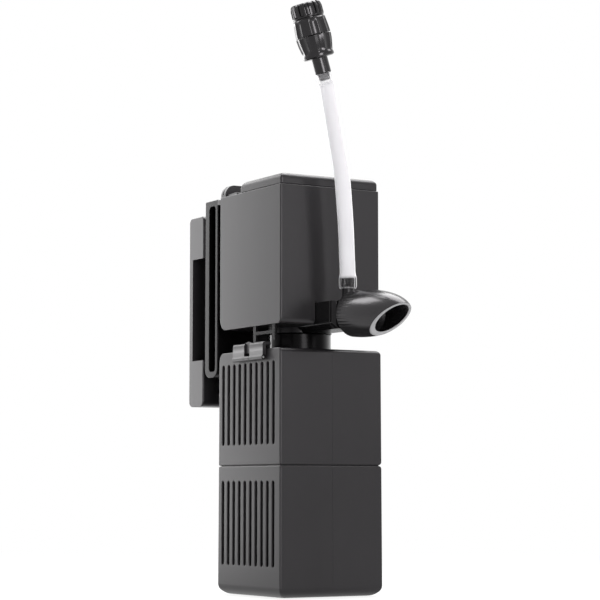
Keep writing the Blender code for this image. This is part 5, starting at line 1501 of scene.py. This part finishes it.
@dataclass
class AirLine:
    """The hose on the nipple, and the regulating valve at its upper end."""

    outlet: Outlet
    radius: float = 4.5
    bore: float = 3.3
    tilt: float = math.radians(17.45)
    hose_end: tuple[float, float, float] = (-14.97, -54.0, 294.1)
    route: list[tuple[float, float]] = field(
        default_factory=lambda: [
            (0.0, 181.7),
            (-0.6, 195.0),
            (-1.2, 210.0),
            (-2.25, 224.0),
            (-3.6, 238.8),
            (-6.3, 253.8),
            (-9.8, 271.1),
            (-13.2, 288.4),
            (-14.97, 294.1),
        ]
    )
    collar_swell: tuple[float, float] = (0.62, 4.2)
    end_swell: tuple[float, float] = (0.35, 5.5)
    sleeve_foot: float = 175.4
    sleeve_top: float = 4.4
    stem_length: float = 13.3
    barrel_length: float = 12.8
    cap_length: float = 18.9
    flutes: int = 12
    flute_depth: float = 0.8
    tier_offset: float = 0.22
    crown_ribs: int = 14

    def centreline(self) -> Points:
        """The hose's centre points: a Catmull-Rom curve through the route, from the sleeve's foot up."""
        y = self.hose_end[1]
        up = np.array([-math.sin(self.tilt), 0, math.cos(self.tilt)])
        route = np.array([(x, y, z) for x, z in self.route])
        ends = [np.array([[0.0, y, self.sleeve_foot]]), route, (route[-1] + up * self.sleeve_top)[None]]
        knots = np.concatenate(ends)
        padded = np.concatenate([2 * knots[:1] - knots[1:2], knots, 2 * knots[-1:] - knots[-2:-1]])
        t = np.linspace(0, 1, 12, endpoint=False)[:, None]
        a, b, c, d = (padded[i : len(padded) - 3 + i, None, :] for i in range(4))
        square, cube = 2 * a - 5 * b + 4 * c - d, 3 * b - a - 3 * c + d
        curve = 0.5 * (2 * b + (c - a) * t + square * t**2 + cube * t**3)
        return np.concatenate([curve.reshape(-1, 3), knots[-1:]])

    @staticmethod
    def swelling(distance: Points, shape: tuple[float, float]) -> Points:
        """How much the hose widens at each distance from a place, given the widening's rise and reach."""
        rise, reach = shape
        return rise * np.exp(-((distance / reach) ** 4))

    def hose(self) -> tuple[bpy.types.Object, Points]:
        """The hose as a tube with a wall, swollen over the collar, and its centreline.

        Each row is a circle square to the centreline, of the outer radius on the way up and of the bore on
        the way down. All lie in one upright plane, so Y and the curve's own normal span them.
        """
        line = self.centreline()
        step = np.linalg.norm(np.diff(line, axis=0), axis=1)
        along = np.concatenate([[0], np.cumsum(step)])
        count = int(along[-1] / 0.9)
        even = np.linspace(0, along[-1], count)
        line = np.stack([np.interp(even, along, line[:, i]) for i in range(3)], axis=-1)
        tangent = np.gradient(line, even, axis=0)
        tangent /= np.linalg.norm(tangent, axis=1)[:, None]
        beside = np.cross(tangent, [0.0, 1.0, 0.0])
        collar = np.abs(line[:, 2] - self.outlet.collar_foot - self.outlet.collar_height / 2)
        top = even[-1] - even
        swell = self.swelling(collar, self.collar_swell) + self.swelling(top, self.end_swell)
        lip = 0.25 * np.exp(-((np.minimum(even, top) / 0.7) ** 2))
        turn = (np.arange(64) * 2 * np.pi / 64)[None, :, None]
        circle = np.cos(turn) * beside[:, None, :] + np.sin(turn) * np.array([0.0, 1.0, 0.0])

        def tube(radius: Points) -> Points:
            """Circles of these radii round the line."""
            return line[:, None, :] + radius[:, None, None] * circle

        outer, inner = tube(self.radius + swell - lip), tube(self.bore + 1.3 * swell + lip)[::-1]
        hose = skin("air_hose_sleeve", np.concatenate([outer, inner]), ring=True)
        below = line[:, 2] - self.outlet.collar_foot - self.outlet.collar_height / 2 + 0.6
        clear = np.clip(1.25 * np.exp(-((np.abs(below) / 3.4) ** 6)), 0, 1)
        clear = np.maximum(clear, np.clip(1.2 * np.exp(-((top / 6.0) ** 4)), 0, 0.9))
        hold_values(hose, "clear", np.repeat(np.concatenate([clear, clear[::-1]]), turn.size))
        return shaded(hose, math.radians(60)), line

    def valve_place(self) -> Matrix:
        """The valve's axis: Z runs up it from the hose's end."""
        leaning = Matrix.Translation(Vector(self.hose_end) * MM) @ Matrix.Rotation(-self.tilt, 4, "Y")
        return leaning @ Matrix.Translation((0, 0, GAP * MM))

    def flute(self, low: float, high: float, offset: float) -> Swell:
        """Flutes cut round a barrel between two heights, rounded at both ends.

        A flute's section is a raised cosine to the power of a half, so its floor is broad and its ridges are
        narrow, and it fades over 1.8 mm at each end.

        Args:
            low: The height where the flutes begin.
            high: The height where they end.
            offset: Their turn round the axis, as a share of the pitch.

        Returns:
            The change of radius as a function of radius, height and angle.
        """

        def change(radius: Points, height: Points, angle: Points) -> Points:
            """The change of radius at each point."""
            fade = np.clip((height - low) / 1.8, 0, 1) * np.clip((high - height) / 1.8, 0, 1)
            turn = self.flutes * angle + 2 * np.pi * offset
            wave = np.sqrt(np.clip(0.5 - 0.5 * np.cos(turn), 0, 1))
            return -self.flute_depth * np.sqrt(fade) * wave * (radius > 8.0)

        return change

    def valve_body(self) -> bpy.types.Object:
        """The barrel's fluted lower tier, its rounded bottom ring and the stem with its barbed tip."""
        foot = self.stem_length
        top = foot + self.barrel_length
        corners = [
            (0, 0),
            (3.1, 0),
            (3.5, 3.8),
            (4.75, 4.2),
            (4.75, foot),
            (8.2, foot),
            (9.1, foot + 0.7),
            (9.0, foot + 2.0),
            (8.75, foot + 2.7),
        ]
        profile = rounded_profile(corners, [0, 0.8, 0.2, 0.3, 0.5, 0.5, 0.5, 0.5, 0], 5)
        rise = np.linspace(0, 1, 24)[1:]
        radii = 8.75 + 1.45 * np.sin(rise * np.pi / 2) ** 1.2
        profile += list(zip(radii, foot + 2.7 + (self.barrel_length - 2.85) * rise))
        profile += [(10.1, top - 0.05), (9.9, top), (0, top)]
        body = turned("valve_barrel", profile, self.flutes * 18, swell=self.flute(foot + 2.9, top + 1.2, 0.0))
        joined(body, Cut.AWAY, rod("needle_hole", "Z", (0, 0), 2.3, top - 12.3, top + 1, 32))
        body.data.transform(self.valve_place())
        return shaded(body, math.radians(42))

    def valve_knob(self) -> bpy.types.Object:
        """The turning half: the fluted upper tier, a lip, and the crown with panels between thin ribs."""
        foot = self.stem_length + self.barrel_length + GAP
        groove, top = foot + 9.8, foot + self.cap_length
        rise = np.linspace(0, 1, 24)
        profile = [(0, foot), (9.9, foot), (10.1, foot + 0.05)]
        profile += list(zip(10.2 - 0.75 * rise**1.5, foot + 0.15 + (groove - foot - 1.4) * rise))
        profile += rounded_profile(
            [
                (9.45, groove - 0.7),
                (9.15, groove - 0.1),
                (8.7, groove + 0.1),
                (8.7, groove + 0.5),
                (9.15, groove + 0.9),
                (9.25, groove + 2.0),
                (9.2, top - 3.0),
                (8.6, top - 0.9),
                (7.6, top),
                (0, top),
            ],
            [0, 0.3, 0.15, 0.1, 0.2, 0, 0, 0.8, 0.8, 0],
            5,
        )
        extra = [(r, z) for r, z in profile if z > groove + 0.8 and r > 6.0]
        first = profile.index(extra[0])
        dense = []
        for (r0, z0), (r1, z1) in zip(extra[:-1], extra[1:]):
            steps = max(1, int(math.hypot(r1 - r0, z1 - z0) / 0.35))
            dense += [(r0 + (r1 - r0) * i / steps, z0 + (z1 - z0) * i / steps) for i in range(steps)]
        profile[first : first + len(extra)] = [*dense, extra[-1]]

        def change(radius: Points, height: Points, angle: Points) -> Points:
            """Flutes below the groove, and panels sunk between narrow ribs above it."""
            lower = self.flute(foot - 1.2, groove - 0.9, self.tier_offset)(radius, height, angle)
            panel = np.clip(0.62 - 1.6 * np.cos(self.crown_ribs * angle + 0.9), 0, 1)
            rise = np.clip((height - groove - 1.5) / 0.5, 0, 1)
            inner = np.clip((radius - 6.0) / 0.8, 0, 1)
            return np.where(height < groove - 0.5, lower, 0.0) - 0.95 * panel * rise * inner

        body = turned("valve_cap", profile, self.crown_ribs * 18, swell=change)
        joined(body, Cut.ONTO, rod("needle", "Z", (0, 0), 2.0, foot - 12, foot + 1, 32))
        body.data.transform(self.valve_place())
        return shaded(body, math.radians(42))

    def build(self) -> None:
        hose, line = self.hose()
        dress(hose, HOSE, "filter_body", "clear_silicone", "air_hose")
        barrel = dress(self.valve_body(), VALVE, "filter_body", "black_trim", "valve_body")
        cap = dress(self.valve_knob(), VALVE, "air_valve", "black_trim", "valve_knob")
        tuple(line[0] * MM)
        [tuple(point) for point in line * MM]


# ------------------------------------------------------------------ rail and glass holder


@dataclass
class GlassMount:
    """The rail behind the head and the holder with its suction cups."""

    rail_half: float = 33.0
    rail_front: float = 40.7
    rail_back: float = 56.3
    rail_foot: float = 128.3
    rail_top: float = 235.8
    holder_half: float = 33.0
    holder_front: float = 58.6
    holder_back: float = 77.0
    holder_foot: float = 111.5
    holder_top: float = 227.8
    end_edge: float = 5.5
    pocket_depth: float = 14.0
    pocket_edge: float = 2.6
    lip: float = 4.0
    waist: tuple[float, float] = (28.0, 62.4)
    well_depth: float = 9.0
    well_radius: float = 11.2
    key: tuple[float, float] = (32.0, 45.0)
    cup_out: float = 19.0
    cup_margin: float = 12.9
    cup_radius: float = 10.2

    def rail(self) -> bpy.types.Object:
        """The rail: pocketed from both sides, grooved in front, with a T-slot behind."""
        x, low, high = self.rail_half, self.rail_foot, self.rail_top
        front, back = self.rail_front, self.rail_back
        outline = rounded_rectangle((front, low), (back, high), [self.end_edge, self.end_edge, 1, 1], 8)
        body = softened(prism("rail_body", "X", outline, -x, x), 0.5)
        near, far = (front + 2.6, low + 3.5), (back - 4.9, high - 3.5)
        pocket = rounded_rectangle(near, far, [self.pocket_edge] * 4, 8)
        for side in Side:
            ends = sorted((side.value * (x - self.pocket_depth), side.value * (x + 1)))
            joined(body, Cut.AWAY, prism("pocket", "X", pocket, *ends))
        groove = block("front_groove", (-22.5, front - 1, low - 1), (22.5, front + 2, high + 1))
        joined(body, Cut.AWAY, groove)
        pads = [block("pad", (-20, 36.5, z), (20, front + 3, z + 10), 0.4) for z in (high - 10.3, 162.7)]
        joined(body, Cut.ONTO, *pads)
        foot, lip = low + 5.5, back - self.lip
        mouth = block("slot_mouth", (-8, lip - 1, foot), (8, back + 1, high + 1))
        room = block("slot_room", (-13, lip - 4.4, foot), (13, lip, high + 1))
        joined(body, Cut.AWAY, mouth, room)
        return shaded(softened(body, 0.25, 2, math.radians(50)))

    def cup_places(self) -> list[tuple[float, float]]:
        """The suction cups' centres on the holder's back."""
        heights = (self.holder_foot + self.cup_margin, self.holder_top - self.cup_margin)
        return [(x, z) for z in heights for x in (-self.cup_out, self.cup_out)]

    def holder(self) -> bpy.types.Object:
        """The holder: two blocks with wells for the cups, a waist between them, and the key for the rail."""
        x, low, high = self.holder_half, self.holder_foot, self.holder_top
        front, back = self.holder_front, self.holder_back
        outline = rounded_rectangle((front, low), (back, high), [3.2] * 4, 8)
        body = softened(prism("holder_body", "X", outline, -x, x), 0.8)
        rise, length = self.waist
        for side in Side:
            start, end = sorted((side.value * (x - self.pocket_depth), side.value * (x + 1)))
            radii = [0.1, 0.1, 0.1, 7] if side is Side.RIGHT else [0.1, 0.1, 7, 0.1]
            waist = rounded_rectangle((start, front - 1), (end, back - 4.6), radii, 10)
            joined(body, Cut.AWAY, prism("waist", "Z", waist, low + rise, low + rise + length))
        for place in self.cup_places():
            joined(body, Cut.AWAY, self.well(place))
        key_foot, lip = self.rail_foot + self.key[0], self.rail_back - self.lip
        neck, head, root = 7.6, 12.6, front + 1
        bar = [(-head, lip - 4.0), (head, lip - 4.0), (head, lip - GAP), (neck, lip - GAP)]
        stem = [(neck, root), (-neck, root), (-neck, lip - GAP), (-head, lip - GAP)]
        joined(body, Cut.ONTO, softened(prism("key", "Z", bar + stem, key_foot, key_foot + self.key[1]), 0.3))
        return shaded(body)

    def behind(self, place: tuple[float, float]) -> Matrix:
        """An axis along +Y through a place given as X and Z."""
        return Matrix.Translation((place[0] * MM, 0, place[1] * MM)) @ Matrix.Rotation(-math.pi / 2, 4, "X")

    def well(self, place: tuple[float, float]) -> bpy.types.Object:
        """A cutter for a cup's well: round, with a hole in its floor that widens at the front."""
        floor, wide, hole, behind = self.holder_back - self.well_depth, self.well_radius, 3.3, 77.2
        corners = [
            (0, 50),
            (6, 50),
            (6, floor - 2.2),
            (hole, floor - 2.2),
            (hole, floor),
            (wide, floor),
            (wide, behind),
            (0, behind),
        ]
        profile = rounded_profile(corners, [0, 0, 0.3, 0, 0, 0.6, 0, 0])
        return turned("well", profile, 72, place=self.behind(place))

    def cup(self, name: str, place: tuple[float, float]) -> bpy.types.Object:
        """A suction cup: a thin bell on a stem that snaps through the floor of its well."""
        floor, lip = self.holder_back - self.well_depth, self.holder_back + 0.7
        under, r = floor - 2.2, self.cup_radius
        corners = [
            (0, under - 2.7),
            (3.2, under - 2.7),
            (4.6, under - 1.3),
            (4.6, under - GAP),
            (3.0, under - GAP),
            (3.0, floor + GAP),
            (5.4, floor + GAP),
            (7.4, floor + 4.0),
            (r, lip - 0.8),
            (r, lip),
            (r - 1.3, lip),
            (6.3, floor + 5.4),
            (3.1, floor + 3.2),
            (0, floor + 2.7),
        ]
        radii = [0, 0.8, 0.6, 0.3, 0.2, 0.2, 0.4, 2.0, 0.3, 0.2, 1.5, 3.0, 2.0, 0]
        return shaded(turned(name, rounded_profile(corners, radii), 72, place=self.behind(place)))

    def build(self) -> None:
        """Makes the rail, the holder and its cups, and dresses them."""
        dress(self.rail(), RAIL_AND_CATCH_SHADE, "filter_body", "black_trim", "slide_rail")
        dress(self.holder(), SHELL, "glass_holder", "black_shell", "holder_frame")
        for i, place in enumerate(self.cup_places(), 1):
            bell = self.cup(f"cup_bell_{i}", place)
            dress(bell, CUP, "glass_holder", "cup_rubber", f"suction_cup_{i}")


def dress_inner_nodes() -> None:
    """Gives the nodes that keep their own shape a procedural finish."""
    finishes = {
        "motor_can": INNER,
        "impeller": INNER,
        "media_grate": INNER,
        "ball_seat": INNER,
        "stator_core": CORE,
        "stator_coil": WIRE,
        "rotor_magnet": FERRITE,
        "rotor_shaft": CERAMIC,
        "shaft_bush_lower": RUBBER,
        "shaft_bush_upper": RUBBER,
        "neck_seal": RUBBER,
        "latch_pin_left": STEEL,
    }
    for name, finish in finishes.items():
        node = frame["nodes"][name]
        node.data.materials.clear()
        node.data.materials.append(material_of(finish))
        log.info("%s keeps its shape with %s", name, finish.name)


# ------------------------------------------------------------------ studio


@dataclass(frozen=True)
class Softbox:
    """An area light: where it stands, what it faces, its width and height in metres, and its watts."""

    name: str
    place: tuple[float, float, float]
    target: tuple[float, float, float]
    size: tuple[float, float]
    power: float

    def build(self) -> None:
        """Adds the light and turns it toward its target."""
        data = bpy.data.lights.new(self.name, "AREA")
        data.shape = "RECTANGLE"
        data.size, data.size_y = self.size
        data.energy = self.power
        light = bpy.data.objects.new(self.name, data)
        light.location = self.place
        light.rotation_euler = (Vector(self.target) - Vector(self.place)).to_track_quat("-Z", "Y").to_euler()
        bpy.context.scene.collection.objects.link(light)


@dataclass
class Studio:
    """A white studio: a camera at the picture's place, five soft lights and a pale floor."""

    eye: tuple[float, float, float] = (-0.6329, -1.0588, 0.0603)
    gaze: tuple[float, float, float] = (0.5112, 0.8545, 0.0911)
    focal_px: float = 2089.9
    picture_px: float = 600.0
    ambient: float = 0.3
    floor_half: float = 2500.0
    lights: tuple[Softbox, ...] = (
        Softbox("left_softbox", (-0.06, 0.34, 0.16), (-0.034, 0.02, 0.13), (0.26, 0.55), 1.75),
        Softbox("front_softbox", (-0.33, -1.50, 0.31), (0.0, -0.05, 0.27), (0.50, 1.00), 18.0),
        Softbox("top_softbox", (0.28, 0.05, 1.15), (0.0, -0.05, 0.17), (1.10, 0.90), 22.0),
        Softbox("rear_left_softbox", (-0.50, 0.42, 0.87), (0.0, -0.08, 0.16), (0.42, 0.42), 4.5),
        Softbox("right_softbox", (0.50, -1.10, 0.36), (0.0, -0.036, 0.21), (0.20, 0.24), 0.6),
    )

    def camera(self) -> None:
        """Sets the camera up: its lens covers the picture's width on a 36 mm sensor."""
        data = bpy.data.cameras.new("camera")
        data.sensor_width = 36.0
        data.lens = self.focal_px / self.picture_px * data.sensor_width
        data.clip_end = 20.0
        camera = bpy.data.objects.new("camera", data)
        camera.location = self.eye
        camera.rotation_euler = Vector(self.gaze).to_track_quat("-Z", "Y").to_euler()
        bpy.context.scene.collection.objects.link(camera)
        bpy.context.scene.camera = camera

    def surroundings(self) -> None:
        """White all round for what is seen directly, in gloss or through glass, and grey as light."""
        world = bpy.data.worlds.new("studio")
        world.use_nodes = True
        graph = NodeGraph(world.node_tree)
        output = graph.node("ShaderNodeOutputWorld", {}, {})
        strength = graph.node("ShaderNodeMapRange", {}, {"Value": graph.white_rays(), "To Min": self.ambient})
        white = {"Color": (1, 1, 1, 1), "Strength": strength.outputs["Result"]}
        background = graph.node("ShaderNodeBackground", {}, white)
        graph.link(background.outputs[0], output.inputs["Surface"])
        bpy.context.scene.world = world

    def floor(self) -> None:
        """A pale floor that glows white where it is seen, and fully so from 0.9 m away.

        Near the filter a share of 0.14 is left to the lights, which shows the filter's shadow.
        """
        half = self.floor_half
        ring = np.array([(-half, -half), (half, -half), (half, half), (-half, half)])
        floor = make_object("floor", across("Z", ring, -0.5), [[0, 1, 2, 3]])
        graph = Graph("pale_floor")
        tone = graph.ramp(graph.noise(3.0), [(0.3, (0.93, 0.93, 0.93)), (0.7, (0.95, 0.95, 0.95))])
        away = graph.node("ShaderNodeVectorMath", {"operation": "LENGTH"}, {0: graph.place})
        lit = Signal(graph, away.outputs["Value"]).step(0.12, 0.9) * 0.14 + 0.86
        graph.principled(Base_Color=tone, Roughness=0.9)
        glow = graph.node("ShaderNodeEmission", {}, {"Color": (1, 1, 1, 1), "Strength": 1.0})
        blend = graph.node("ShaderNodeMixShader", {}, {0: (lit * graph.white_rays()).clamped()})
        graph.link(graph.shader.outputs["BSDF"], blend.inputs[1])
        graph.link(glow.outputs[0], blend.inputs[2])
        graph.link(blend.outputs[0], graph.output.inputs["Surface"])
        floor.data.materials.append(graph.material)

    def build(self) -> None:
        """Sets up the camera, the lights, the floor and the white round them."""
        bpy.context.scene.view_settings.view_transform = "Standard"
        self.camera()
        self.surroundings()
        self.floor()
        for light in self.lights:
            light.build()


def main() -> None:
    """Builds the studio and the filter's sub-assemblies in order."""
    logging.basicConfig(level=logging.INFO, format="%(name)s: %(message)s")
    modules = MediaModules()
    head = PumpHead(modules)
    outlet = Outlet(head)
    parts = {
        "studio": Studio(),
        "air line": AirLine(outlet),
        "media modules": modules,
        "pump head": head,
        "outlet": outlet,
        "glass mount": GlassMount(),
    }
    for name, part in parts.items():
        part.build()
        log.info("%s done", name)
    dress_inner_nodes()


if __name__ == "__main__":
    main()
